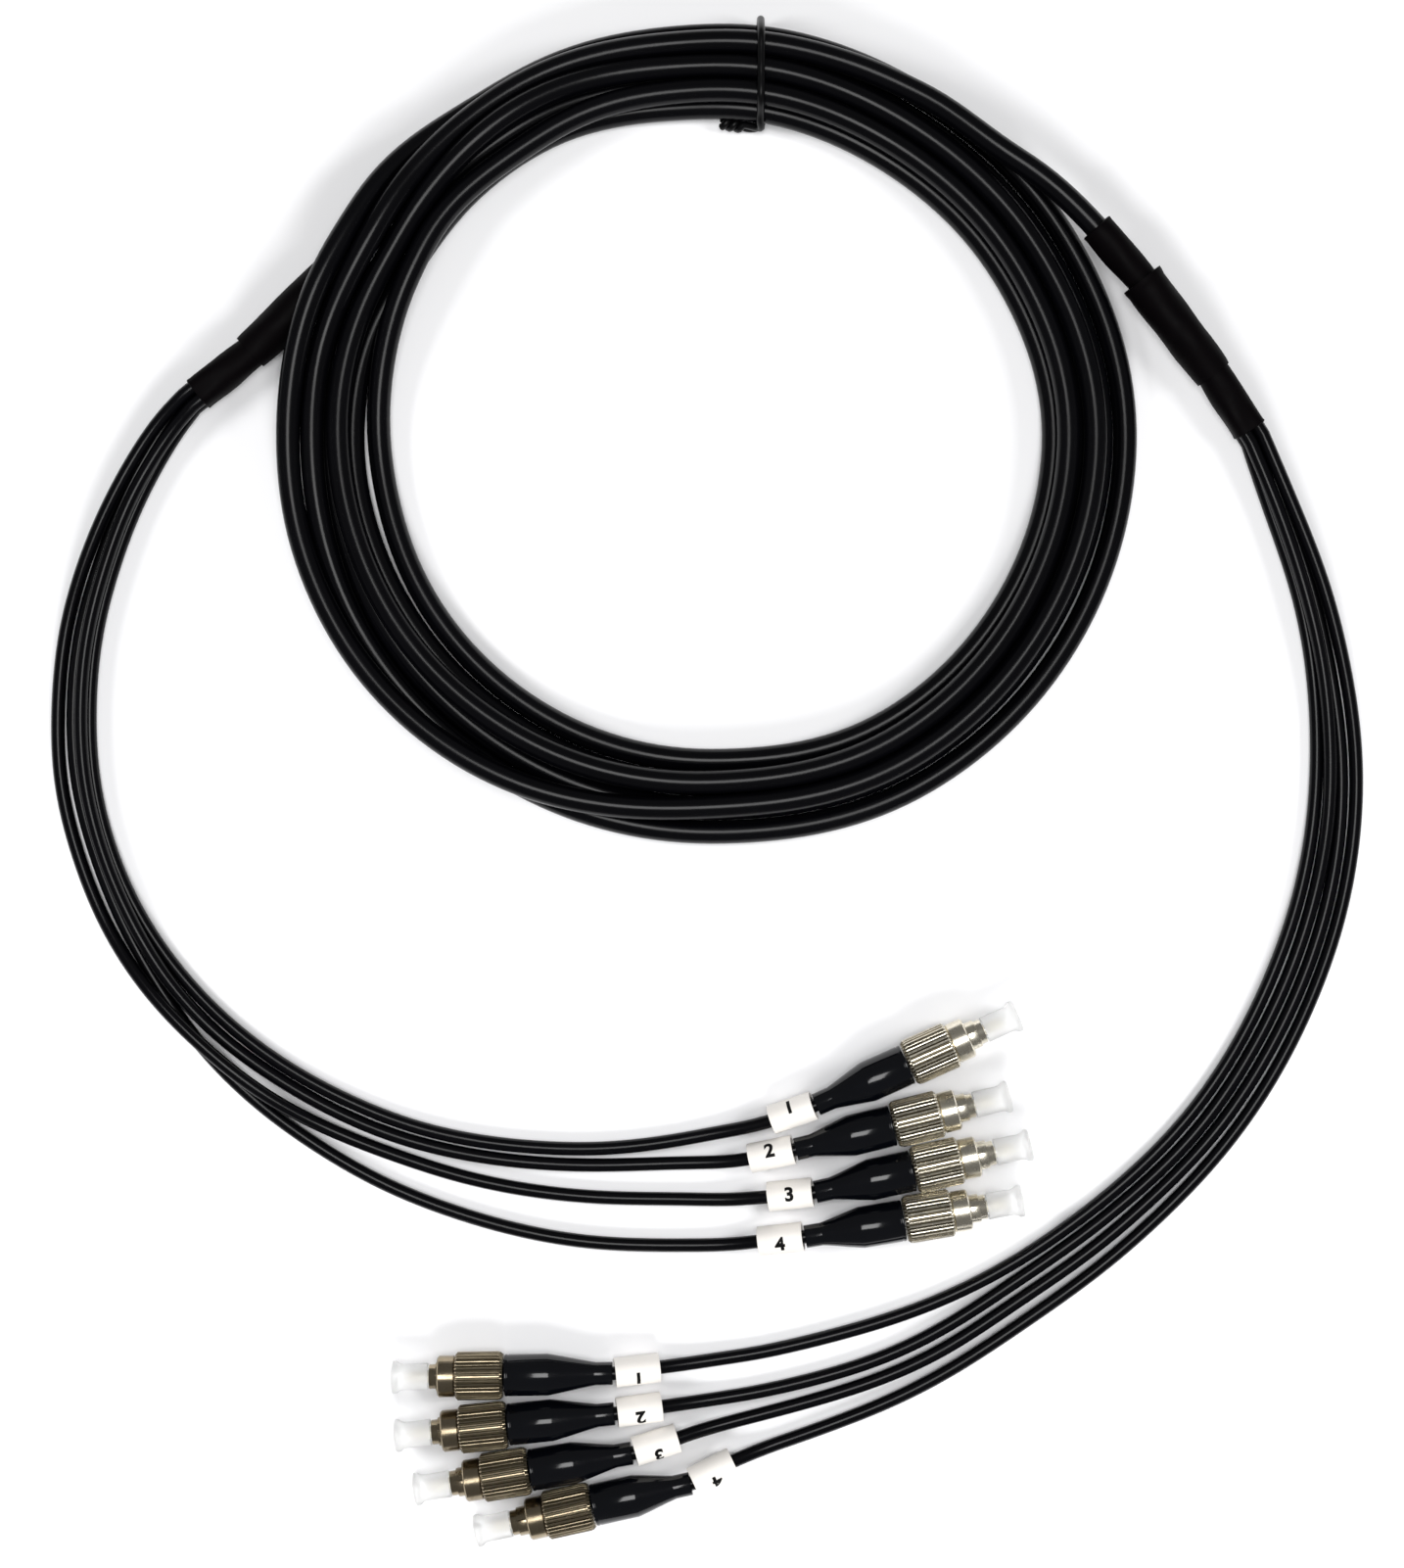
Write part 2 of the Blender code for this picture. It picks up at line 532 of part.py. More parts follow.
def leg_exit(name):
    """Where a leg leaves its sleeve, just clear of the end face, and its direction."""
    place = BREAKOUTS["left" if name[0] == "a" else "right"]
    start, direction = breakout_axes(place)["leg"]
    outward_turn = -90 if name[0] == "a" else 90
    outward = heading_vector(place["heading"] + place["leg_bend"] + outward_turn)
    out, up = PACK_PLACES[name]
    end = start + direction * (LEG_SLEEVE_LENGTH + GAP)
    half = LEG_PACK_PITCH / 2
    return end + outward * out * half + Vector((0.0, 0.0, up * half)), direction


def boot_tip(name):
    return Vector((*CONNECTORS[name]["tip"], NUT_DIAMETER / 2))


def leg_points(name):
    start, outwards = leg_exit(name)
    inwards = heading_vector(CONNECTORS[name]["heading"])
    end = boot_tip(name) - inwards * GAP
    first = start + outwards * LEG_STRAIGHT_RUN
    last = end - inwards * LEG_STRAIGHT_RUN
    route = [tuple(first)] + LEG_ROUTES[name] + [tuple(last)]
    return [start] + smooth_route(route, LEG_POINT_SPACING, LEG_DIAMETER / 2) + [end]


def make_marker(name, points, material):
    """A loose sleeve that hangs on the leg just behind the boot."""
    radius = MARKER_DIAMETER / 2
    bore = radius - MARKER_WALL
    profile = [(0.0, bore), (0.0, radius), (MARKER_LENGTH, radius), (MARKER_LENGTH, bore)]
    item = finish_mesh(f"marker_{name}", turned_solid(profile, SMALL_SEGMENTS, closed=True),
                       material)
    near = CONNECTORS[name]["marker"] + GAP
    ends = [point_from_end(points, distance) for distance in (near, near + MARKER_LENGTH)]
    hang = bore - LEG_DIAMETER / 2 - GAP
    for end in ends:
        end.z = max(end.z - hang, radius)
    item.location = ends[1]
    item.rotation_mode = "QUATERNION"
    item.rotation_quaternion = (ends[0] - ends[1]).to_track_quat("X", "Z")
    return item


def point_from_end(points, distance):
    """The point of a polyline at a distance from its last point."""
    left = distance
    for start, end in zip(reversed(points), reversed(points[:-1])):
        step = (end - start).length
        if step >= left:
            return start.lerp(end, left / step)
        left -= step
    return points[0].copy()


def boot_profile(forward):
    """Straight at the nut, drawn in to a thin tube where the leg enters."""
    length = BOOT_LENGTH + forward
    big = BOOT_DIAMETER / 2
    small = BOOT_TIP_DIAMETER / 2
    taper = length - BOOT_STRAIGHT - BOOT_TIP_STRAIGHT
    points = [(0.0, 0.0), (0.0, small)]
    for i in range(BOOT_TAPER_STEPS + 1):
        share = i / BOOT_TAPER_STEPS
        ease = 0.5 - 0.5 * math.cos(math.pi * share)
        points.append((BOOT_TIP_STRAIGHT + taper * share, small + (big - small) * ease))
    points += [(length, big), (length, 0.0)]
    return points


def nut_profile():
    """Knurled grip, smooth neck, wide thread bore and a back wall with its own bore."""
    outer = NUT_DIAMETER / 2
    neck = NUT_NECK_DIAMETER / 2
    thread = NUT_THREAD_DIAMETER / 2
    back = BARREL_DIAMETER / 2 + GAP
    length = NUT_KNURL_LENGTH + NUT_NECK_LENGTH
    return [(0.0, back), (0.0, outer), (NUT_KNURL_LENGTH, outer), (NUT_KNURL_LENGTH, neck),
            (length, neck), (length, thread), (NUT_BACK_WALL, thread), (NUT_BACK_WALL, back)]


def body_profile(rear):
    """Barrel with the flange that holds the nut, and the thin ferrule in front."""
    barrel = BARREL_DIAMETER / 2
    flange = FLANGE_DIAMETER / 2
    ferrule = FERRULE_DIAMETER / 2
    flange_start = rear + NUT_BACK_WALL + GAP
    flange_end = flange_start + FLANGE_LENGTH
    tip = BARREL_FRONT + FERRULE_LENGTH
    return [(rear, 0.0), (rear, barrel), (flange_start, barrel), (flange_start, flange),
            (flange_end, flange), (flange_end, barrel), (BARREL_FRONT, barrel),
            (BARREL_FRONT, ferrule), (tip, ferrule), (tip, 0.0)]


def cap_profile():
    """A cup over the ferrule, with a rim at its closed end."""
    bore = FERRULE_DIAMETER / 2 + GAP
    wall = CAP_DIAMETER / 2
    rim = CAP_RIM_DIAMETER / 2
    bottom = CAP_LENGTH - CAP_END_WALL
    rim_start = CAP_LENGTH - CAP_RIM_LENGTH
    return [(bottom, 0.0), (bottom, bore), (0.0, bore), (0.0, wall),
            (rim_start - CAP_RIM_LENGTH / 2, wall), (rim_start, rim), (CAP_LENGTH, rim),
            (CAP_LENGTH, 0.0)]


def make_connector(name, materials):
    """Boot, body, coupling nut and dust cap, all on one axis."""
    place = CONNECTORS[name]
    axis = bpy.data.objects.new(f"connector_{name}", None)
    bpy.context.collection.objects.link(axis)
    axis.location = boot_tip(name)
    axis.rotation_euler = (0.0, 0.0, math.radians(place["heading"]))
    nut_rear = BOOT_LENGTH + place["forward"] + GAP
    boot = finish_mesh(f"boot_{name}", turned_solid(boot_profile(place["forward"]),
                                                    ROUND_SEGMENTS), materials["boot"])
    body = finish_mesh(f"connector_body_{name}", turned_solid(body_profile(nut_rear),
                                                              SMALL_SEGMENTS), materials["nickel"])
    nut = finish_mesh(f"coupling_nut_{name}", turned_solid(nut_profile(), NUT_SEGMENTS,
                                                           closed=True), materials["nickel"])
    cap = finish_mesh(f"dust_cap_{name}", turned_solid(cap_profile(), SMALL_SEGMENTS),
                      materials["cap"])
    nut.location.x = nut_rear
    cap.location.x = BARREL_FRONT + GAP
    for piece in (boot, body, nut, cap):
        piece.parent = axis


def make_trunk_lead(material):
    """The trunk from the coil's shoulder to the right breakout."""
    start, direction = breakout_axes(BREAKOUTS["right"])["trunk"]
    end = start + direction * (TRUNK_SLEEVE_LENGTH + GAP)
    before = end + direction * TRUNK_DIAMETER / 2
    route = [tuple(beside_coil(*stop)) for stop in TRUNK_LEAD_ROUTE] + [tuple(before)]
    points = smooth_route(route, TRUNK_DIAMETER, TRUNK_DIAMETER / 2) + [end]
    return make_tube("trunk_lead", points, TRUNK_DIAMETER, material)


def main():
    clear_scene()
    materials = make_materials()
    coil = make_coil(materials["jacket"])
    cut_room_for_left_breakout(coil)
    cut_room_for_tie(coil)
    make_tie(materials["wire"])
    make_breakout("left", materials["sleeve"])
    make_breakout("right", materials["sleeve"])
    make_trunk_lead(materials["jacket"])
    for name in CONNECTORS:
        points = leg_points(name)
        make_tube(f"leg_{name}", points, LEG_DIAMETER, materials["jacket"])
        make_marker(name, points, materials["marker"])
        make_connector(name, materials)


main()
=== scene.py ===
"""Fibre breakout cable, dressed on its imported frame: the wound trunk cable, its heat-shrink
breakouts, eight legs with number markers, and eight screw-on connectors with dust caps."""
from __future__ import annotations

import logging
import math
from bisect import bisect_right
from dataclasses import dataclass
from enum import Enum

import bmesh
import bpy
from mathutils import Matrix, Vector


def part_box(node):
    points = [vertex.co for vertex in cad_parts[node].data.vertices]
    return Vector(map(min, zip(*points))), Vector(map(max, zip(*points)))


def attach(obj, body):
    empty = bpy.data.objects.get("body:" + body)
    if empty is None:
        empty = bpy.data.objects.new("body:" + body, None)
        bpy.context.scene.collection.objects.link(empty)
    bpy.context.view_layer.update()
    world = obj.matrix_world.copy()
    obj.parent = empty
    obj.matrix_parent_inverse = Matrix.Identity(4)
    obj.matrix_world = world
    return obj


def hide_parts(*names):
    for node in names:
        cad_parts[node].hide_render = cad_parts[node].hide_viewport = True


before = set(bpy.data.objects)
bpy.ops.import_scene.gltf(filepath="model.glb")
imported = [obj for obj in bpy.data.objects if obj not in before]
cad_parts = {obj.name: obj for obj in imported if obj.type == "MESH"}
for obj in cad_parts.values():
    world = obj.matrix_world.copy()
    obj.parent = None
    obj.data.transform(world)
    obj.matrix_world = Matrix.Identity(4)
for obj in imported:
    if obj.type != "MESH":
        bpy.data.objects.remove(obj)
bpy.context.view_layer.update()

LOG = logging.getLogger("breakout_cable")

MM = 0.001
BODY = "cable"
AXIS_ATTRIBUTE = "along"
Profile = list[tuple[float, float]]

# Clearance between two pieces, and the two jackets that other sizes follow, in metres
GAP = 0.0003
TRUNK_DIAMETER = 0.0050
LEG_DIAMETER = 0.0029

# Edges sharper than this angle stay sharp, and corners nearer than this distance are one
SMOOTH_ANGLE = math.radians(35)
MERGE_DISTANCE = 1e-7

# Steps round a turned piece, and between two points of a route while its curve is worked out
ROUND_STEPS = 48
ROUTE_STEPS = 20


class Slot(Enum):
    """The record's material slots."""

    JACKET = "jacket"
    HEAT_SHRINK = "heat_shrink"
    TIE_WIRE = "tie_wire"
    MARKER = "marker_white"
    BOOT = "boot_black"
    NICKEL = "nickel"
    CAP = "cap_plastic"


class Side(Enum):
    """The two ends of the cable, as seen in the coil's plane."""

    LEFT = "left"
    RIGHT = "right"


# The oval winding: its middle, and the distance from there to the bore at angles in degrees
# clockwise from the top, in millimetres
COIL_MIDDLE_MM = (0.6, 73.4)
BORE = [
    (0, 66.7), (30, 66.8), (60, 68.3), (90, 70.3), (120, 69.5), (150, 68.6), (180, 66.3),
    (210, 66.4), (240, 67.1), (270, 67.9), (300, 69.3), (310, 70.0), (330, 69.5),
]

# The cable's turns in the order in which they are wound: angle in degrees clockwise from the
# top, distance out from the bore and height of the middle line, in millimetres
TURN_START = [(303.2, 13.45, 4.35), (310, 12.7, 3.9), (325, 10.0, 2.7), (345, 11.9, 2.5)]
TURNS = [
    [(0, 12.6, 2.5), (180, 12.6, 2.5), (240, 12.7, 2.5), (262, 12.95, 2.5), (270, 12.8, 2.5),
     (285, 12.0, 2.5), (290, 10.9, 2.5), (297, 9.2, 2.5), (303, 7.5, 2.5), (310, 7.3, 3.1),
     (325, 6.2, 5.9), (345, 7.2, 3.6)],
    [(0, 7.55, 2.5), (180, 7.55, 2.5), (240, 7.6, 2.5), (262, 7.9, 2.5), (270, 7.75, 2.5),
     (285, 6.6, 2.5), (290, 5.7, 2.5), (297, 4.1, 2.5), (303, 2.4, 2.5), (325, 2.5, 2.5)],
    [(0, 2.5, 2.5), (210, 2.5, 2.5), (240, 2.3, 2.5), (262, 1.9, 2.5), (270, 2.2, 2.7),
     (278, 2.2, 3.6), (285, 2.2, 4.9), (290, 2.2, 6.1), (297, 2.2, 7.15), (303, 2.1, 7.5),
     (310, 2.4, 7.5), (325, 1.6, 7.4), (345, 4.2, 7.3)],
    [(0, 5.05, 6.87), (90, 5.1, 6.87), (135, 6.0, 7.27), (180, 7.1, 7.5), (210, 8.8, 7.35),
     (240, 10.1, 6.9), (270, 10.3, 6.87), (285, 9.4, 6.95), (297, 7.9, 7.35), (303, 7.4, 7.5),
     (310, 7.5, 8.1), (325, 8.55, 10.2), (345, 9.8, 7.6)],
    [(0, 10.1, 6.87), (45, 10.4, 6.92), (90, 10.8, 7.15), (135, 11.5, 7.38), (180, 12.2, 7.5),
     (195, 14.6, 7.1), (210, 17.8, 7.5), (225, 20.0, 6.9), (240, 21.2, 6.4), (255, 21.5, 6.7),
     (270, 20.6, 7.6), (278, 20.1, 8.9), (285, 19.6, 9.8), (290, 18.9, 11.2), (297, 17.7, 10.1),
     (303, 17.2, 9.2), (310, 17.0, 7.1), (325, 15.0, 2.8), (345, 16.9, 2.5)],
    [(0, 17.65, 2.5), (30, 17.9, 2.5), (90, 17.65, 2.5), (120, 18.0, 2.5), (150, 17.7, 2.5),
     (225, 17.6, 2.5), (240, 17.5, 3.2), (255, 16.7, 5.5), (270, 15.7, 6.87), (285, 15.2, 7.3),
     (290, 13.8, 8.6), (297, 12.6, 10.0), (303, 12.2, 10.3), (310, 12.4, 9.2), (325, 13.2, 7.6),
     (345, 14.6, 7.0)],
]
TURN_END = [(0, 15.15, 6.87), (15, 15.6, 6.95), (30, 16.6, 7.4), (40, 17.2, 7.9)]

# From the winding to the right breakout, in metres
LEAD_ROUTE = [(0.0614, 0.1330, 0.0081), (0.0687, 0.1281, 0.0081), (0.0754, 0.1226, 0.0081)]

# Routes of the legs between the sleeve and the boot, in metres, as in the part's source. They
# weren't chosen by hand: one program worked them out from angles and distances read one by one,
# and another pushed the points apart and rounded them to 0.1 mm
LEG_ROUTES = {
    "a1": [
        (-0.1128, 0.0734, 0.0018), (-0.1201, 0.0605, 0.0015), (-0.1256, 0.0465, 0.0015),
        (-0.1294, 0.0319, 0.0015), (-0.1309, 0.0167, 0.0015), (-0.1302, 0.0013, 0.0015),
        (-0.1267, -0.0138, 0.0015), (-0.1205, -0.0279, 0.0015), (-0.1118, -0.0406, 0.0015),
        (-0.1012, -0.0515, 0.0015), (-0.0891, -0.0605, 0.0015), (-0.0762, -0.0675, 0.0015),
        (-0.0627, -0.0728, 0.0015), (-0.0489, -0.0760, 0.0015), (-0.0350, -0.0775, 0.0015),
        (-0.0212, -0.0776, 0.0015), (-0.0076, -0.0761, 0.0015), (0.0027, -0.0742, 0.0019),
        (0.0099, -0.0726, 0.0030), (0.0174, -0.0702, 0.0044),
    ],
    "a2": [
        (-0.1132, 0.0736, 0.0048), (-0.1211, 0.0608, 0.0044), (-0.1267, 0.0467, 0.0044),
        (-0.1306, 0.0320, 0.0043), (-0.1322, 0.0165, 0.0043), (-0.1314, 0.0009, 0.0043),
        (-0.1278, -0.0143, 0.0043), (-0.1218, -0.0287, 0.0042), (-0.1138, -0.0421, 0.0033),
        (-0.1035, -0.0536, 0.0018), (-0.0911, -0.0628, 0.0015), (-0.0779, -0.0702, 0.0015),
        (-0.0640, -0.0757, 0.0015), (-0.0497, -0.0791, 0.0015), (-0.0354, -0.0808, 0.0015),
        (-0.0212, -0.0812, 0.0015), (-0.0070, -0.0808, 0.0015), (0.0033, -0.0804, 0.0022),
        (0.0089, -0.0796, 0.0032), (0.0140, -0.0784, 0.0045),
    ],
    "a3": [
        (-0.1162, 0.0753, 0.0047), (-0.1245, 0.0622, 0.0041), (-0.1311, 0.0479, 0.0032),
        (-0.1358, 0.0326, 0.0018), (-0.1376, 0.0164, 0.0015), (-0.1370, 0.0001, 0.0015),
        (-0.1332, -0.0159, 0.0015), (-0.1268, -0.0310, 0.0021), (-0.1173, -0.0445, 0.0043),
        (-0.1060, -0.0560, 0.0048), (-0.0935, -0.0659, 0.0040), (-0.0800, -0.0736, 0.0018),
        (-0.0656, -0.0793, 0.0015), (-0.0511, -0.0838, 0.0015), (-0.0363, -0.0867, 0.0015),
        (-0.0212, -0.0881, 0.0015), (-0.0059, -0.0884, 0.0015), (0.0048, -0.0884, 0.0020),
        (0.0116, -0.0878, 0.0031), (0.0178, -0.0872, 0.0044),
    ],
    "a4": [
        (-0.1154, 0.0749, 0.0018), (-0.1230, 0.0616, 0.0015), (-0.1286, 0.0473, 0.0015),
        (-0.1327, 0.0322, 0.0015), (-0.1344, 0.0166, 0.0015), (-0.1336, 0.0007, 0.0015),
        (-0.1298, -0.0148, 0.0015), (-0.1239, -0.0296, 0.0015), (-0.1161, -0.0436, 0.0015),
        (-0.1067, -0.0565, 0.0015), (-0.0953, -0.0678, 0.0015), (-0.0823, -0.0773, 0.0015),
        (-0.0683, -0.0852, 0.0015), (-0.0532, -0.0912, 0.0015), (-0.0375, -0.0955, 0.0015),
        (-0.0212, -0.0978, 0.0015), (-0.0045, -0.0982, 0.0015), (0.0048, -0.0979, 0.0020),
        (0.0110, -0.0971, 0.0031), (0.0161, -0.0964, 0.0045),
    ],
    "b1": [
        (0.1195, 0.0577, 0.0015), (0.1249, 0.0416, 0.0015), (0.1283, 0.0250, 0.0015),
        (0.1294, 0.0081, 0.0015), (0.1285, -0.0089, 0.0015), (0.1252, -0.0256, 0.0015),
        (0.1195, -0.0417, 0.0015), (0.1119, -0.0569, 0.0015), (0.1021, -0.0710, 0.0015),
        (0.0902, -0.0833, 0.0015), (0.0768, -0.0941, 0.0015), (0.0623, -0.1035, 0.0015),
        (0.0466, -0.1110, 0.0015), (0.0298, -0.1165, 0.0015), (0.0124, -0.1207, 0.0015),
        (0.0037, -0.1221, 0.0017), (-0.0046, -0.1232, 0.0023), (-0.0112, -0.1238, 0.0034),
        (-0.0159, -0.1242, 0.0045),
    ],
    "b2": [
        (0.1204, 0.0581, 0.0044), (0.1259, 0.0418, 0.0044), (0.1299, 0.0251, 0.0041),
        (0.1317, 0.0080, 0.0035), (0.1313, -0.0093, 0.0027), (0.1282, -0.0265, 0.0016),
        (0.1225, -0.0430, 0.0015), (0.1146, -0.0586, 0.0015), (0.1046, -0.0731, 0.0015),
        (0.0923, -0.0857, 0.0015), (0.0786, -0.0968, 0.0015), (0.0640, -0.1069, 0.0015),
        (0.0484, -0.1167, 0.0015), (0.0312, -0.1241, 0.0015), (0.0127, -0.1289, 0.0015),
        (0.0048, -0.1303, 0.0016), (-0.0035, -0.1314, 0.0023), (-0.0104, -0.1321, 0.0036),
        (-0.0153, -0.1327, 0.0046),
    ],
    "b3": [
        (0.1223, 0.0590, 0.0015), (0.1279, 0.0424, 0.0015), (0.1319, 0.0255, 0.0015),
        (0.1343, 0.0080, 0.0015), (0.1342, -0.0097, 0.0015), (0.1312, -0.0273, 0.0015),
        (0.1254, -0.0443, 0.0015), (0.1173, -0.0603, 0.0015), (0.1070, -0.0751, 0.0015),
        (0.0945, -0.0881, 0.0015), (0.0807, -0.0998, 0.0015), (0.0656, -0.1103, 0.0015),
        (0.0497, -0.1205, 0.0015), (0.0319, -0.1282, 0.0015), (0.0128, -0.1337, 0.0015),
        (0.0048, -0.1357, 0.0018), (-0.0015, -0.1373, 0.0026), (-0.0066, -0.1388, 0.0037),
        (-0.0114, -0.1405, 0.0046),
    ],
    "b4": [
        (0.1233, 0.0594, 0.0044), (0.1298, 0.0430, 0.0038), (0.1345, 0.0258, 0.0032),
        (0.1373, 0.0080, 0.0023), (0.1373, -0.0101, 0.0016), (0.1342, -0.0282, 0.0015),
        (0.1283, -0.0456, 0.0015), (0.1201, -0.0621, 0.0015), (0.1096, -0.0773, 0.0015),
        (0.0970, -0.0909, 0.0015), (0.0829, -0.1032, 0.0015), (0.0675, -0.1143, 0.0015),
        (0.0511, -0.1249, 0.0015), (0.0329, -0.1337, 0.0015), (0.0131, -0.1409, 0.0016),
        (0.0062, -0.1433, 0.0031), (0.0019, -0.1451, 0.0043),
    ],
}

# Route of the tie over the turns: across them from the bore, and up, in metres
TIE_ROUTE = [
    (0.0004, 0.0008), (0.0055, 0.0008), (0.0110, 0.0008), (0.0165, 0.0008), (0.0205, 0.0010),
    (0.0217, 0.0030), (0.0216, 0.0054), (0.0203, 0.0078), (0.0189, 0.0099), (0.0172, 0.0116),
    (0.0157, 0.0120), (0.0131, 0.0119), (0.0105, 0.0120), (0.0080, 0.0119), (0.0054, 0.0120),
    (0.0035, 0.0113), (0.0023, 0.0096), (0.0012, 0.0078), (-0.0002, 0.0062), (-0.0008, 0.0044),
]


def linear_colour(hex_colour: str) -> tuple[float, float, float, float]:
    """Turn an sRGB hex colour into linear light.

    Args:
        hex_colour: Six hex digits after a hash.

    Returns:
        Red, green, blue and an alpha of one.
    """
    channels = [int(hex_colour[i:i + 2], 16) / 255 for i in (1, 3, 5)]
    linear = [c / 12.92 if c <= 0.04045 else ((c + 0.055) / 1.055) ** 2.4 for c in channels]
    return (*linear, 1.0)


def add_node(tree: bpy.types.NodeTree, kind: str, settings: dict | None = None,
             inputs: dict | None = None) -> bpy.types.Node:
    """Add a node with its settings, and set or link its inputs.

    Args:
        tree: Node tree that gets the node.
        kind: Blender's name of the node type.
        settings: Values of the node's own properties.
        inputs: For each input socket, a value or the output socket that feeds it.

    Returns:
        The new node.
    """
    node = tree.nodes.new(kind)
    for name, value in (settings or {}).items():
        setattr(node, name, value)
    for name, value in (inputs or {}).items():
        if isinstance(value, bpy.types.NodeSocket):
            tree.links.new(value, node.inputs[name])
        else:
            node.inputs[name].default_value = value
    return node


@dataclass(frozen=True)
class Finish:
    """A surface: what it is made of, how even it is, and the relief that it carries."""

    name: str
    colour: str
    worn_colour: str
    roughness: float
    roughness_spread: float
    patch_mm: float
    grain_mm: float
    grain_depth_mm: float
    metallic: float = 0.0
    ior: float = 1.5
    specular: float = 0.5
    transmission: float = 0.0
    turned_lines_mm: float = 0.0
    turned_depth_mm: float = 0.0

    def build(self) -> bpy.types.Material:
        """Build the material.

        Returns:
            A material with a Principled shader and its patches, grain and turning lines.
        """
        material = bpy.data.materials.new(self.name)
        material.use_nodes = True
        tree = material.node_tree
        shader = tree.nodes["Principled BSDF"]
        shader.inputs["Metallic"].default_value = self.metallic
        if not self.metallic:
            shader.inputs["IOR"].default_value = self.ior
        shader.inputs["Specular IOR Level"].default_value = self.specular
        shader.inputs["Transmission Weight"].default_value = self.transmission
        where = add_node(tree, "ShaderNodeTexCoord").outputs["Object"]
        patches = add_node(tree, "ShaderNodeTexNoise", inputs={
            "Vector": where, "Scale": 1 / (self.patch_mm * MM), "Detail": 4.0,
            "Roughness": 0.6}).outputs["Fac"]
        grain = add_node(tree, "ShaderNodeTexNoise", inputs={
            "Vector": where, "Scale": 1 / (self.grain_mm * MM), "Detail": 3.0}).outputs["Fac"]
        colour = add_node(tree, "ShaderNodeMix", {"data_type": "RGBA"})
        tree.links.new(patches, colour.inputs[0])
        colour.inputs[6].default_value = linear_colour(self.colour)
        colour.inputs[7].default_value = linear_colour(self.worn_colour)
        tree.links.new(colour.outputs[2], shader.inputs["Base Color"])
        roughness = add_node(tree, "ShaderNodeMapRange", inputs={
            "Value": patches, "From Min": 0.3, "From Max": 0.7,
            "To Min": self.roughness - self.roughness_spread,
            "To Max": self.roughness + self.roughness_spread}).outputs["Result"]
        tree.links.new(roughness, shader.inputs["Roughness"])
        relief = add_node(tree, "ShaderNodeBump", inputs={
            "Height": grain, "Distance": self.grain_depth_mm * MM}).outputs["Normal"]
        if self.turned_lines_mm:
            along = add_node(tree, "ShaderNodeAttribute", {"attribute_name": AXIS_ATTRIBUTE})
            lines = add_node(tree, "ShaderNodeTexNoise", {"noise_dimensions": "1D"}, {
                "W": along.outputs["Fac"], "Scale": 1 / (self.turned_lines_mm * MM),
                "Detail": 2.0}).outputs["Fac"]
            relief = add_node(tree, "ShaderNodeBump", inputs={
                "Height": lines, "Distance": self.turned_depth_mm * MM,
                "Normal": relief}).outputs["Normal"]
        tree.links.new(relief, shader.inputs["Normal"])
        return material


# Each finish gives its name, its two colours, its roughness and the spread of that, then the
# sizes of its patches and its grain and the depth of the grain, in millimetres

# Extruded cable jacket, black halogen-free compound: satin, so that crowns carry a thin line
JACKET = Finish("extruded_black_jacket", "#030304", "#050508", 0.22, 0.04, 22.0, 0.9, 0.0008,
                specular=0.19)
# Heat-shrink tube, cross-linked polyolefin: dull and very slightly warm, with a soft grain
HEAT_SHRINK = Finish("shrunk_polyolefin_tube", "#030203", "#060405", 0.55, 0.06, 6.0, 0.7, 0.01,
                     specular=0.06)
# Coated tie wire, black vinyl: evenly satin
TIE_COATING = Finish("vinyl_coated_tie_wire", "#030304", "#050506", 0.34, 0.05, 5.0, 0.5, 0.002,
                     specular=0.24)
# Moulded boot, soft black vinyl: glossy from the mould, a little blue in the light
BOOT_VINYL = Finish("moulded_black_vinyl", "#030407", "#05060a", 0.13, 0.03, 5.0, 1.4, 0.001,
                    specular=0.38)
# Number marker, printed white vinyl sleeve: matt, a shade duller than the paper under it
MARKER_VINYL = Finish("white_vinyl_marker", "#ebe7e2", "#e2ded8", 0.52, 0.05, 4.0, 0.4, 0.006)
# Thermal print on the marker: dull black
PRINT_INK = Finish("black_thermal_print", "#060607", "#0c0c0d", 0.60, 0.05, 1.0, 0.2, 0.002,
                   specular=0.2)
# Nickel on turned brass, bright and pale. Real turning lines are 0.05 mm apart, drawn coarser
BRIGHT_NICKEL = Finish("bright_nickel_on_brass", "#f2ecdd", "#e6dec9", 0.27, 0.05, 3.0, 0.5,
                       0.0003, metallic=1.0, turned_lines_mm=0.12, turned_depth_mm=0.0008)
# The same plating where it looks browner, as on the connectors of end B
WARM_NICKEL = Finish("warm_nickel_on_brass", "#a89b85", "#8f8269", 0.23, 0.05, 3.0, 0.5,
                     0.0003, metallic=1.0, turned_lines_mm=0.12, turned_depth_mm=0.0008)
# Grooves of the knurl: the plating is dull there, and its colour is darkened with painted shade
GROOVE_SHADE_NICKEL = Finish("dulled_nickel_in_grooves", "#7d745f", "#635a48", 0.42, 0.05, 2.0, 0.4,
                     0.0005, metallic=1.0)
# Ground zirconia ferrule: cream white and nearly polished
ZIRCONIA = Finish("ground_zirconia", "#efeadf", "#e6e0d2", 0.14, 0.03, 2.0, 0.3, 0.001, ior=2.1)
# Dust cap, natural low-density polyethylene: milky, lets the floor show through
CAP_PLASTIC = Finish("natural_polyethylene", "#fdfdfd", "#f9f9f8", 0.50, 0.04, 3.0, 0.6, 0.003,
                     ior=1.3, transmission=0.82)
# Matt white studio paper under the cable
FLOOR_PAPER = Finish("matt_white_paper", "#f6f6f7", "#f3f3f5", 0.85, 0.03, 300.0, 2.0, 0.002)


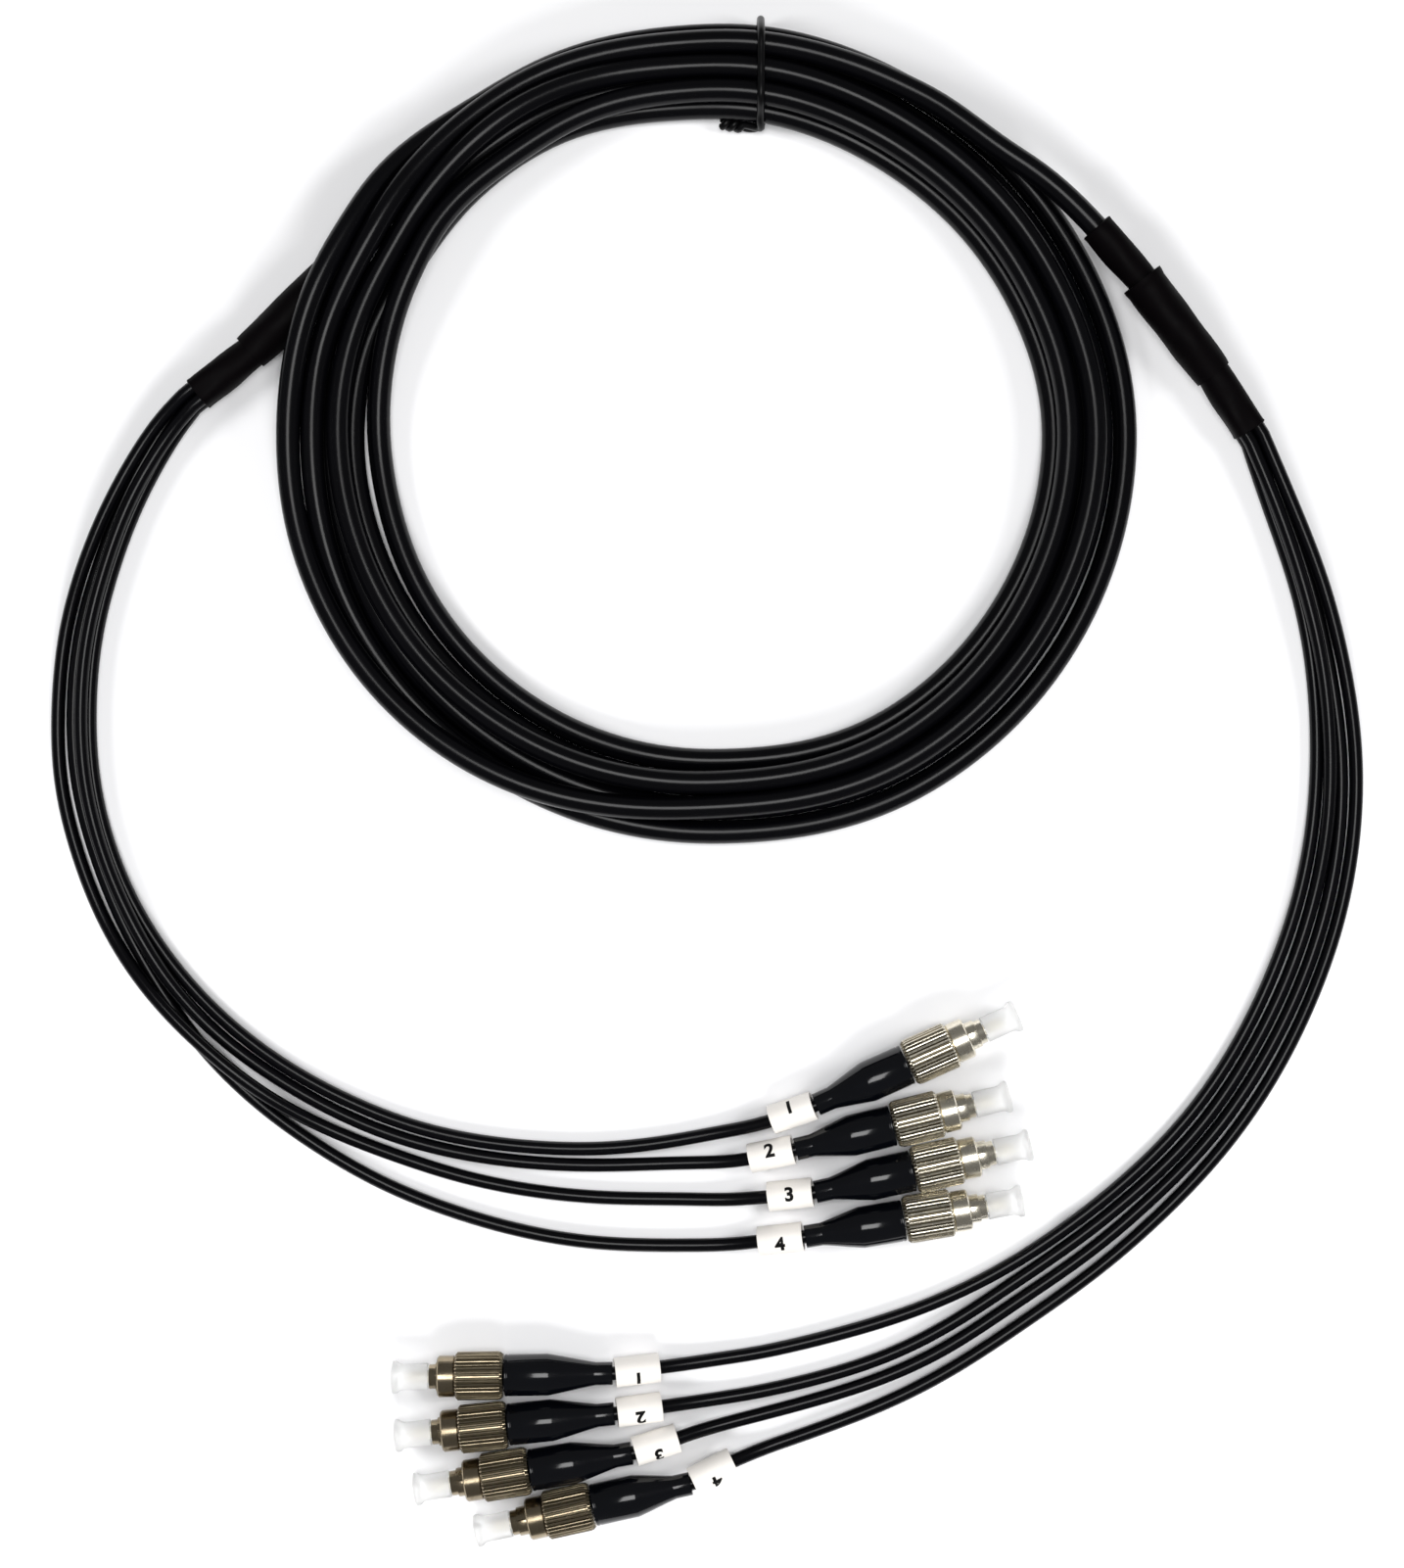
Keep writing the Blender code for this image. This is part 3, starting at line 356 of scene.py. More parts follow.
def spline_bends(knots: list[float], values: list[float]) -> list[float]:
    """Second derivatives of the natural cubic spline through values at knots.

    Args:
        knots: Rising positions.
        values: One value at each knot.

    Returns:
        The bend at each knot.
    """
    count = len(knots)
    upper = [0.0] * count
    right = [0.0] * count
    for i in range(1, count - 1):
        before = knots[i] - knots[i - 1]
        after = knots[i + 1] - knots[i]
        slope = 6 * ((values[i + 1] - values[i]) / after - (values[i] - values[i - 1]) / before)
        pivot = 2 * (before + after) - before * upper[i - 1]
        upper[i] = after / pivot
        right[i] = (slope - before * right[i - 1]) / pivot
    bends = [0.0] * count
    for i in range(count - 2, 0, -1):
        bends[i] = right[i] - upper[i] * bends[i + 1]
    return bends


def smooth_route(points: list[Vector], spacing: float, lowest: float) -> list[Vector]:
    """Even points along the natural cubic curve through a route's own points.

    Args:
        points: The route's points.
        spacing: Distance between the points that come back.
        lowest: Least height of a point.

    Returns:
        Points about one spacing apart, the first and the last of the route among them.
    """
    knots = [0.0]
    for start, end in zip(points, points[1:]):
        knots.append(knots[-1] + math.sqrt((end - start).length))
    axes = [[point[axis] for point in points] for axis in range(3)]
    bends = [spline_bends(knots, values) for values in axes]
    steps = ROUTE_STEPS * (len(points) - 1)
    fine = []
    for step in range(steps + 1):
        at = knots[-1] * step / steps
        i = min(bisect_right(knots, at) - 1, len(knots) - 2)
        span = knots[i + 1] - knots[i]
        a = (knots[i + 1] - at) / span
        b = 1 - a
        place = [a * v[i] + b * v[i + 1] + ((a ** 3 - a) * m[i] + (b ** 3 - b) * m[i + 1])
                 * span * span / 6 for v, m in zip(axes, bends)]
        fine.append(Vector((place[0], place[1], max(place[2], lowest))))
    lengths = [0.0]
    for start, end in zip(fine, fine[1:]):
        lengths.append(lengths[-1] + (end - start).length)
    count = max(2, math.ceil(lengths[-1] / spacing))
    even = []
    for number in range(count + 1):
        wanted = lengths[-1] * number / count
        i = min(bisect_right(lengths, wanted) - 1, len(fine) - 2)
        share = (wanted - lengths[i]) / (lengths[i + 1] - lengths[i])
        even.append(fine[i].lerp(fine[i + 1], share))
    return even


def route_length(points: list[Vector]) -> float:
    """Length of a line through points."""
    return sum((end - start).length for start, end in zip(points, points[1:]))


def point_from_end(points: list[Vector], distance: float) -> Vector:
    """The point of a line at a distance from its last point.

    Args:
        points: The line.
        distance: How far back along it.

    Returns:
        The point.
    """
    left = distance
    for start, end in zip(reversed(points), reversed(points[:-1])):
        step = (end - start).length
        if step >= left:
            return start.lerp(end, left / step)
        left -= step
    return points[0].copy()


def heading_vector(degrees: float, dip: float = 0.0) -> Vector:
    """Unit vector at a heading in the floor's plane, dipping below it.

    Args:
        degrees: Heading, counted from +X towards +Y.
        dip: Angle below the horizontal, in degrees.

    Returns:
        The direction.
    """
    flat = math.cos(math.radians(dip))
    turn = math.radians(degrees)
    return Vector((math.cos(turn) * flat, math.sin(turn) * flat, -math.sin(math.radians(dip))))


def along_axis(start: Vector, direction: Vector) -> Matrix:
    """Matrix that puts a shape made along +X at a start, pointing in a direction."""
    return Matrix.Translation(start) @ direction.to_track_quat("X", "Z").to_matrix().to_4x4()


def round_cord(name: str, points: list[Vector], diameter: float, material: bpy.types.Material,
               resolution: int) -> bpy.types.Object:
    """A round cord as one open curve through points.

    Args:
        name: Name of the piece.
        points: Its middle line.
        diameter: Its thickness.
        material: Its finish.
        resolution: Fineness of the round section.

    Returns:
        The curve object.
    """
    curve = bpy.data.curves.new(name, "CURVE")
    curve.dimensions = "3D"
    curve.bevel_depth = diameter / 2
    curve.bevel_resolution = resolution
    curve.use_fill_caps = True
    spline = curve.splines.new("POLY")
    spline.points.add(len(points) - 1)
    for target, point in zip(spline.points, points):
        target.co = (*point, 1.0)
    spline.use_smooth = True
    curve.materials.append(material)
    item = bpy.data.objects.new(name, curve)
    bpy.context.collection.objects.link(item)
    return item


def finer(profile: Profile, step: float) -> Profile:
    """Put more points on the long stretches of a profile.

    Args:
        profile: Points (x, radius).
        step: Greatest distance between two points.

    Returns:
        The profile with its own points and those between them.
    """
    full = [profile[0]]
    for (x0, r0), (x1, r1) in zip(profile, profile[1:]):
        count = max(1, math.ceil(math.hypot(x1 - x0, r1 - r0) / step))
        full += [(x0 + (x1 - x0) * i / count, r0 + (r1 - r0) * i / count)
                 for i in range(1, count + 1)]
    return full


def turned(profile: Profile, ring: bool = False, edge: float = 0.0,
           segments: int = ROUND_STEPS) -> bmesh.types.BMesh:
    """Spin a profile about +X into a closed solid.

    Args:
        profile: Points (x, radius), ending on the axis unless it is a ring.
        ring: True for a solid with a hole along its axis.
        edge: Width of the rounding on its sharp edges.
        segments: Steps of the full turn.

    Returns:
        The solid, with its distance along the axis kept as a vertex attribute.
    """
    solid = bmesh.new()
    points = [solid.verts.new((x, radius, 0.0)) for x, radius in profile]
    edges = [solid.edges.new(pair) for pair in zip(points, points[1:])]
    if ring:
        edges.append(solid.edges.new((points[-1], points[0])))
    bmesh.ops.spin(solid, geom=points + edges, cent=(0, 0, 0), axis=(1, 0, 0),
                   angle=math.tau, steps=segments, use_merge=True)
    bmesh.ops.remove_doubles(solid, verts=solid.verts[:], dist=MERGE_DISTANCE)
    bmesh.ops.recalc_face_normals(solid, faces=solid.faces[:])
    if edge:
        sharp = [line for line in solid.edges
                 if line.is_manifold and line.calc_face_angle() > SMOOTH_ANGLE]
        bmesh.ops.bevel(solid, geom=sharp, offset=edge, affect="EDGES", segments=2,
                        profile=0.5, material=-1, clamp_overlap=True)
    keep_axis(solid)
    return solid


def keep_axis(solid: bmesh.types.BMesh) -> None:
    """Keep each vertex's distance along the turning axis as an attribute."""
    layer = solid.verts.layers.float.get(AXIS_ATTRIBUTE)
    if layer is None:
        layer = solid.verts.layers.float.new(AXIS_ATTRIBUTE)
    for vertex in solid.verts:
        vertex[layer] = vertex.co.x


def place_piece(name: str, solid: bmesh.types.BMesh, place: Matrix,
                material: bpy.types.Material, flat: bool = False) -> bpy.types.Object:
    """Make a piece of a bmesh at its place, none of it below the floor, its object at the origin.

    Args:
        name: Name of the piece.
        solid: Its shape, in its own axes.
        place: Where it goes.
        material: Its finish.
        flat: True to leave its faces unsmoothed.

    Returns:
        The mesh object.
    """
    bmesh.ops.transform(solid, matrix=place, verts=solid.verts[:])
    for vertex in solid.verts:
        vertex.co.z = max(vertex.co.z, 0.0)
    mesh = bpy.data.meshes.new(name)
    solid.to_mesh(mesh)
    solid.free()
    mesh.materials.append(material)
    if not flat:
        mesh.shade_smooth()
        mesh.set_sharp_from_angle(angle=SMOOTH_ANGLE)
    item = bpy.data.objects.new(name, mesh)
    bpy.context.collection.objects.link(item)
    return item


def dress(piece: bpy.types.Object, nodes: list[str], body: str = BODY) -> None:
    """Tie a piece to its body and the CAD nodes that it stands for.

    Args:
        piece: The finished piece.
        nodes: CAD nodes that it replaces.
        body: CAD body that it rides on.
    """
    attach(piece, body)
    if nodes:
        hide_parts(*nodes)
    LOG.info("%s rides on %s", piece.name, body)


def eased(keys: list[tuple[float, ...]], column: int, at: float) -> float:
    """Value at a position between keys, without overshoot.

    Args:
        keys: Rows that start with a rising position.
        column: Which value of the rows is wanted.
        at: The position.

    Returns:
        The value.
    """
    spots = [key[0] for key in keys]
    values = [key[column] for key in keys]
    i = min(max(bisect_right(spots, at) - 1, 0), len(keys) - 2)

    def slope(j: int) -> float:
        """Slope of the stretch that starts at a key."""
        return (values[j + 1] - values[j]) / (spots[j + 1] - spots[j])

    def tangent(j: int) -> float:
        """Slope of the curve at a key."""
        if j == 0:
            return slope(0)
        if j == len(keys) - 1:
            return 0.0
        before = slope(j - 1)
        after = slope(j)
        if before * after <= 0:
            return 0.0
        short = spots[j] - spots[j - 1]
        long = spots[j + 1] - spots[j]
        first = 2 * long + short
        second = long + 2 * short
        return (first + second) / (first / before + second / after)

    width = spots[i + 1] - spots[i]
    u = (at - spots[i]) / width
    return ((1 + 2 * u) * (1 - u) ** 2 * values[i] + u * (1 - u) ** 2 * width * tangent(i)
            + u * u * (3 - 2 * u) * values[i + 1] + u * u * (u - 1) * width * tangent(i + 1))


@dataclass
class Breakout:
    """One breakout: a wide shrunk sleeve with a narrow one on the trunk and one on the legs."""

    side: Side
    heading: float
    leg_bend: float
    trunk_bend: float
    dip: float

    # Wide sleeve: its lip at the trunk's end, its middle, and where it is drawn in to the legs
    wide_diameter: float = 0.0087
    wide_length: float = 0.0250
    lip: float = 0.00022
    lip_length: float = 0.0007
    lip_ease: float = 0.0018
    wide_middle: float = 0.0090
    wide_swell: float = 0.0001
    wide_taper: float = 0.0070
    wide_end: float = 0.0016
    wide_end_drop: float = 0.0003
    wide_rim_drop: float = 0.00045

    # How far the wide sleeve presses into the narrow ones, and these reach into it
    bite: float = 0.0002
    overlap: float = 0.0030

    # Narrow sleeves: where each is as thick as its diameter says, its hidden end and its mouth
    trunk_diameter: float = TRUNK_DIAMETER
    trunk_sleeve_diameter: float = 0.0070
    trunk_sleeve_length: float = 0.0140
    trunk_full_at: float = 0.5
    trunk_hidden_drop: float = 0.0002
    trunk_mouth: float = 0.0009
    leg_sleeve_diameter: float = 0.0074
    leg_sleeve_length: float = 0.0135
    leg_full_at: float = 0.4
    leg_hidden_drop: float = 0.0003
    leg_mouth: float = 0.0008
    leg_wall: float = 0.0004
    leg_seal_depth: float = 0.0012
    mouth_edge: float = 0.0002
    mouth_drop: float = 0.0001

    # Unevenness of the shrunk tube, and the square that four legs press into it
    profile_step: float = 0.0009
    wave: float = 0.00009
    wave_reach_mm: float = 3.1
    short_wave_share: float = 0.6
    short_wave_reach_mm: float = 1.9
    corner_swell: float = 0.00026

    def centre(self) -> Vector:
        """Middle of the wide sleeve, as the frame has it."""
        low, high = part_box(f"{self.side.value}_breakout_sleeve")
        return (Vector(low) + Vector(high)) / 2

    def butt_gap(self, diameter: float, bend: float) -> float:
        """Distance kept between two end faces whose axes meet at a small bend."""
        return GAP + diameter / 2 * math.tan(math.radians(abs(bend)))

    def wide_axis(self) -> tuple[Vector, Vector]:
        """Start and direction of the wide sleeve."""
        along = heading_vector(self.heading, self.dip)
        return self.centre() - along * self.wide_length / 2, along

    def leg_axis(self) -> tuple[Vector, Vector]:
        """Start and direction of the sleeve on the legs."""
        start, along = self.wide_axis()
        gap = self.butt_gap(self.leg_sleeve_diameter, self.leg_bend)
        return (start + along * (self.wide_length + gap),
                heading_vector(self.heading + self.leg_bend, self.dip))

    def trunk_axis(self) -> tuple[Vector, Vector]:
        """Start and direction of the sleeve on the trunk."""
        start, along = self.wide_axis()
        gap = self.butt_gap(self.trunk_sleeve_diameter, self.trunk_bend)
        return start - along * gap, -heading_vector(self.heading + self.trunk_bend, self.dip)

    def trunk_end(self) -> tuple[Vector, Vector]:
        """Mouth of the sleeve on the trunk, and the direction out of it."""
        start, direction = self.trunk_axis()
        return start + direction * self.trunk_sleeve_length, direction

    def ripple(self, solid: bmesh.types.BMesh, pack_length: float | None) -> None:
        """Give a turned sleeve the slight unevenness of shrunk tube.

        Args:
            solid: The sleeve, along +X.
            pack_length: Length over which its section comes to follow the square pack of legs,
                or None where it has no legs in it.
        """
        for vertex in solid.verts:
            radius = math.hypot(vertex.co.y, vertex.co.z)
            if radius < MM:
                continue
            turn = math.atan2(vertex.co.z, vertex.co.y)
            x = vertex.co.x / MM
            long_wave = math.sin(2 * turn + x / self.wave_reach_mm)
            short_wave = math.sin(3 * turn - x / self.short_wave_reach_mm)
            swell = self.wave * (long_wave + self.short_wave_share * short_wave)
            if pack_length is not None:
                share = min(max(vertex.co.x / pack_length, 0.0), 1.0)
                swell -= self.corner_swell * math.cos(4 * turn) * share
            factor = (radius + swell) / radius
            vertex.co.y *= factor
            vertex.co.z *= factor

    def rolled_mouth(self, length: float, radius: float, roll: float) -> Profile:
        """Points of a sleeve's mouth, its edge rolled slightly outwards.

        Args:
            length: Where the sleeve ends.
            radius: Its radius.
            roll: Length of the rolled edge.

        Returns:
            The last points of the sleeve's outer side.
        """
        return [(length - roll, radius), (length - self.mouth_edge, radius + self.lip / 2),
                (length, radius - self.mouth_drop)]

    def add_sleeve(self, part: str, node: str, profile: Profile, axis: tuple[Vector, Vector],
                   material: bpy.types.Material, ring: bool = True,
                   pack_length: float | None = None) -> None:
        """Turn a sleeve, make it uneven and dress it.

        Args:
            part: Middle of the piece's name.
            node: Last words of the CAD node that it replaces.
            profile: Its outline, along +X.
            axis: Its start and direction.
            material: Its finish.
            ring: False for a sleeve that is closed inside.
            pack_length: Length over which it comes to follow the legs in it.
        """
        solid = turned(finer(profile, self.profile_step), ring)
        self.ripple(solid, pack_length)
        piece = place_piece(f"{self.side.value}_{part}_shrink_sleeve", solid, along_axis(*axis),
                            material)
        dress(piece, [f"{self.side.value}_{node}"])

    def build_wide(self, material: bpy.types.Material) -> None:
        """Build the wide sleeve, cut square at the trunk and drawn in towards the legs."""
        radius = self.wide_diameter / 2
        length = self.wide_length
        profile = [
            (0.0, self.trunk_sleeve_diameter / 2 - self.bite), (0.0, radius + self.lip),
            (self.lip_length, radius + self.lip), (self.lip_ease, radius),
            (self.wide_middle, radius + self.wide_swell), (length - self.wide_taper, radius),
            (length - self.wide_end, radius - self.wide_end_drop),
            (length, radius - self.wide_rim_drop),
            (length, self.leg_sleeve_diameter / 2 - self.bite),
        ]
        self.add_sleeve("wide", "breakout_sleeve", profile, self.wide_axis(), material)

    def build_trunk_sleeve(self, material: bpy.types.Material) -> None:
        """Build the narrow sleeve that grips the trunk's jacket."""
        radius = self.trunk_sleeve_diameter / 2
        length = self.trunk_sleeve_length
        bore = self.trunk_diameter / 2
        profile = [
            (-self.overlap, bore), (-self.overlap, radius - self.trunk_hidden_drop),
            (length * self.trunk_full_at, radius),
            *self.rolled_mouth(length, radius, self.trunk_mouth), (length, bore),
        ]
        self.add_sleeve("trunk", "trunk_sleeve", profile, self.trunk_axis(), material)

    def build_leg_sleeve(self, material: bpy.types.Material) -> None:
        """Build the narrow sleeve round the four legs, with its sealed mouth."""
        radius = self.leg_sleeve_diameter / 2
        length = self.leg_sleeve_length
        sealed = length - self.leg_seal_depth
        profile = [
            (-self.overlap, 0.0), (-self.overlap, radius - self.leg_hidden_drop),
            (length * self.leg_full_at, radius),
            *self.rolled_mouth(length, radius, self.leg_mouth),
            (length, radius - self.leg_wall), (sealed, radius - self.leg_wall), (sealed, 0.0),
        ]
        self.add_sleeve("leg", "leg_sleeve", profile, self.leg_axis(), material, ring=False,
                        pack_length=length)

    def build(self, material: bpy.types.Material) -> None:
        """Build the three sleeves."""
        self.build_wide(material)
        self.build_trunk_sleeve(material)
        self.build_leg_sleeve(material)


@dataclass
class Trunk:
    """The trunk cable: out of the left breakout, six turns round, and into the right one."""

    left: Breakout
    right: Breakout
    diameter: float = TRUNK_DIAMETER
    length: float = 3.15
    first_degrees: float = 3.0
    step: float = 6.0
    ease_reach: int = 12
    ease_step: int = 2
    ease_width: float = 5.0
    in_sleeve: float = 0.0060
    spacing: float = 0.0028
    section_fineness: int = 8
    tie_at: float = 8.0
    tie_lift_mm: float = 1.6
    tie_lift_reach: float = 13.0

    def lift(self, at: float) -> float:
        """How far the turns are raised where the tie's wire passes under them, in millimetres."""
        away = (at - self.tie_at + 180) % 360 - 180
        return self.tie_lift_mm * math.exp(-(away / self.tie_lift_reach) ** 2)

    def keys(self) -> list[tuple[float, float, float]]:
        """All keys of the winding, with the angle running on from turn to turn."""
        keys = [(a - 360, out, up) for a, out, up in TURN_START]
        for number, turn in enumerate(TURNS):
            keys += [(a + 360 * number, out, up) for a, out, up in turn]
        keys += [(a + 360 * len(TURNS), out, up) for a, out, up in TURN_END]
        return keys

    def softened(self, keys: list[tuple[float, ...]], column: int, at: float) -> float:
        """Value between keys, averaged over a few degrees so that the cable bends gently.

        Args:
            keys: Keys of the winding.
            column: 1 for the distance from the bore, 2 for the height.
            at: Angle along the winding.

        Returns:
            The softened value, in millimetres.
        """
        low, high = keys[0][0], keys[-1][0]
        reach = min(1.0, (at - low) / self.ease_reach, (high - at) / self.ease_reach)
        total = 0.0
        weights = 0.0
        for shift in range(-self.ease_reach, self.ease_reach + 1, self.ease_step):
            weight = math.exp(-(shift / self.ease_width) ** 2 / 2)
            total += weight * eased(keys, column, at + shift * reach)
            weights += weight
        return total / weights

    def winding(self) -> list[Vector]:
        """Middle line of the turns, sixty points to a turn."""
        keys = self.keys()
        bore = [(a + 360 * lap, r) for lap in (-1, 0, 1) for a, r in BORE]
        points = []
        at = keys[0][0] + self.first_degrees
        while at <= keys[-1][0]:
            radius = eased(bore, 1, at % 360) + self.softened(keys, 1, at)
            turn = math.radians(90 - at)
            points.append(Vector(((COIL_MIDDLE_MM[0] + radius * math.cos(turn)) * MM,
                                  (COIL_MIDDLE_MM[1] + radius * math.sin(turn)) * MM,
                                  (self.softened(keys, 2, at) + self.lift(at)) * MM)))
            at += self.step
        return points

    def middle_line(self) -> list[Vector]:
        """Middle line from inside the left breakout to inside the right one."""
        left_mouth, left_out = self.left.trunk_end()
        right_mouth, right_out = self.right.trunk_end()
        route = [left_mouth - left_out * self.in_sleeve, left_mouth]
        route += self.winding()
        route += [Vector(point) for point in LEAD_ROUTE]
        route += [right_mouth, right_mouth - right_out * self.in_sleeve]
        return smooth_route(route, self.spacing, self.diameter / 2)

    def build(self, material: bpy.types.Material) -> None:
        points = self.middle_line()
        LOG.info("trunk measures %.3f m", route_length(points))
        piece = round_cord("trunk_cable", points, self.diameter, material, self.section_fineness)
        dress(piece, ["trunk_coil", "trunk_lead"])
        tuple(self.left.trunk_end()[0])


@dataclass
class Tie:
    """The coated wire round the turns, its two ends twisted together inside the coil."""

    angle: float = 82.0
    bore: float = 0.0678
    oval: float = 0.0225
    wire: float = 0.0016
    lean: float = 0.143
    lean_start: float = -0.0010
    tail_start: float = 0.0026
    tail_end: float = 0.0070
    tail_across: float = -0.0003
    tail_height: float = 0.0018
    twists: float = 1.25
    tail_points: int = 14
    spacing: float = 0.0006
    section_fineness: int = 4

    def frame_axes(self) -> tuple[Vector, Vector, Vector]:
        """Foot of the tie at the bore, and the directions along and across the turns."""
        turn = math.radians(self.angle)
        stretch = Vector((math.cos(turn) * (1 + self.oval), math.sin(turn) * (1 - self.oval), 0.0))
        foot = Vector((COIL_MIDDLE_MM[0] * MM, COIL_MIDDLE_MM[1] * MM, 0.0)) + stretch * self.bore
        across = stretch.normalized()
        return foot, Vector((-across.y, across.x, 0.0)), across

    def tail(self, phase: float) -> list[tuple[float, float, float]]:
        """One wire of the twisted tail, from the coil outwards.

        Args:
            phase: Where the wire starts round the tail's axis.

        Returns:
            Its points: along, across and up.
        """
        points = []
        for i in range(self.tail_points + 1):
            share = i / self.tail_points
            turn = phase + math.tau * self.twists * share
            points.append((self.tail_start + (self.tail_end - self.tail_start) * share,
                           self.tail_across + self.wire / 2 * math.cos(turn),
                           self.tail_height + self.wire / 2 * math.sin(turn)))
        return points

    def build(self, material: bpy.types.Material) -> None:
        """Build the tie as one wire."""
        foot, along, across = self.frame_axes()
        first = list(reversed(self.tail(-math.pi / 2)))
        last = self.tail(math.pi / 2)
        over = [(self.lean_start + self.lean * u, u, z) for u, z in TIE_ROUTE]
        stops = first + over + last
        route = [foot + along * t + across * u + Vector((0.0, 0.0, z)) for t, u, z in stops]
        points = smooth_route(route, self.spacing, self.wire / 2)
        piece = round_cord("wire_tie", points, self.wire, material, self.section_fineness)
        dress(piece, ["coil_tie"])


@dataclass
class Connector:
    """One connector: boot, barrel with ferrule, coupling nut and dust cap on one axis."""

    name: str
    tip: tuple[float, float]
    heading: float
    forward: float
    digit_up: float
    cord_length: float
    pack_place: tuple[int, int]

    # Boot, with the fine groove behind its front edge
    boot_length: float = 0.0210
    boot_diameter: float = 0.0087
    boot_tip_diameter: float = 0.0048
    boot_straight: float = 0.0090
    boot_tip_straight: float = 0.0035
    boot_evenness: float = 0.88
    boot_curve_steps: int = 20
    boot_groove: tuple[float, float, float] = (0.0009, 0.0007, 0.0005)
    boot_groove_depth: float = 0.00012
    boot_rounding: float = 0.00012
    boot_hole_depth: float = 0.0022
    boot_hole_clearance: float = 0.0001
    leg_diameter: float = LEG_DIAMETER

    # Coupling nut: its grip with the ribs, its neck and its bore
    nut_diameter: float = 0.0100
    knurl_length: float = 0.0100
    rear_chamfer: float = 0.0006
    rear_land: float = 0.0009
    rear_land_drop: float = 0.0001
    ribs_from: float = 0.0010
    front_chamfer: float = 0.0004
    ribs: int = 36
    rib_points: int = 8
    rib_depth: float = 0.00038
    rib_base: float = 0.00015
    rib_width: float = 0.6
    rib_steepness: float = 2.2
    # Depths of the rib faces, and how far before the grip's front they stop, that get the painted
    # groove shade
    groove_shade_depths: tuple[float, float] = (0.4, 1.4)
    groove_shade_margin: float = 0.0005
    neck_diameter: float = 0.0086
    neck_length: float = 0.0038
    neck_groove: float = 0.0004
    neck_chamfer: float = 0.0003
    thread_diameter: float = 0.0077
    thread_pitch: float = 0.00075
    thread_depth: float = 0.00035
    thread_mouth: float = 0.0002
    thread_crests: int = 5
    back_wall: float = 0.0020

    # Barrel, its key and the ferrule in its cup
    barrel_diameter: float = 0.0059
    barrel_front: float = 0.0386
    barrel_rounding: float = 0.0001
    flange_diameter: float = 0.0068
    flange_length: float = 0.0015
    step_length: float = 0.0014
    step_drop: float = 0.0004
    cup_clearance: float = 0.0006
    cup_depth: float = 0.0016
    key_size: tuple[float, float, float] = (0.0026, 0.0020, 0.0012)
    key_behind_front: float = 0.0027
    key_sink: float = 0.0001
    key_rounding: float = 0.00012
    ferrule_diameter: float = 0.0025
    ferrule_length: float = 0.0045
    ferrule_chamfer: float = 0.0006
    ferrule_chamfer_drop: float = 0.0005
    ferrule_dome: float = 0.00005
    ferrule_rounding: float = 0.00004
    ferrule_steps: int = 32

    # Dust cap, with its flared end and the dimple in it
    cap_diameter: float = 0.0055
    cap_length: float = 0.0075
    cap_end_wall: float = 0.0025
    cap_mouth: float = 0.0006
    cap_mouth_flare: float = 0.0003
    cap_waist: float = 0.0012
    cap_flare: float = 0.0005
    cap_swell: float = 0.0001
    cap_rim_diameter: float = 0.0067
    cap_rim_length: float = 0.0010
    cap_rim_edge: float = 0.0002
    cap_dimple_radius: float = 0.0014
    cap_dimple_floor: float = 0.0010
    cap_dimple_depth: float = 0.0008
    cap_rounding: float = 0.00008
    cap_steps: int = 40

    def place(self) -> Matrix:
        """Matrix of the connector's axis, from the tip of the boot outwards."""
        return (Matrix.Translation((*self.tip, self.nut_diameter / 2))
                @ Matrix.Rotation(math.radians(self.heading), 4, "Z"))

    def nut_rear(self) -> float:
        """Distance from the tip of the boot to the back of the nut."""
        return self.boot_length + self.forward + GAP

    def build_boot(self, material: bpy.types.Material) -> bpy.types.Object:
        """Build the boot, with the hole that the leg enters.

        Args:
            material: Its finish.

        Returns:
            The boot.
        """
        length = self.boot_length + self.forward
        big = self.boot_diameter / 2
        small = self.boot_tip_diameter / 2
        hole = self.leg_diameter / 2 + self.boot_hole_clearance
        taper = length - self.boot_straight - self.boot_tip_straight
        profile = [(self.boot_hole_depth, 0.0), (self.boot_hole_depth, hole), (0.0, hole),
                   (0.0, small)]
        for i in range(self.boot_curve_steps + 1):
            share = i / self.boot_curve_steps
            ease = 0.5 - 0.5 * math.cos(math.pi * share)
            ease += (share - ease) * self.boot_evenness
            profile.append((self.boot_tip_straight + taper * share, small + (big - small) * ease))
        for back, depth in zip(self.boot_groove, (0.0, self.boot_groove_depth, 0.0)):
            profile.append((length - back, big - depth))
        profile += [(length, big), (length, 0.0)]
        solid = turned(profile, edge=self.boot_rounding)
        piece = place_piece(f"moulded_boot_{self.name}", solid, self.place(), material)
        dress(piece, [f"boot_{self.name}"])
        return piece

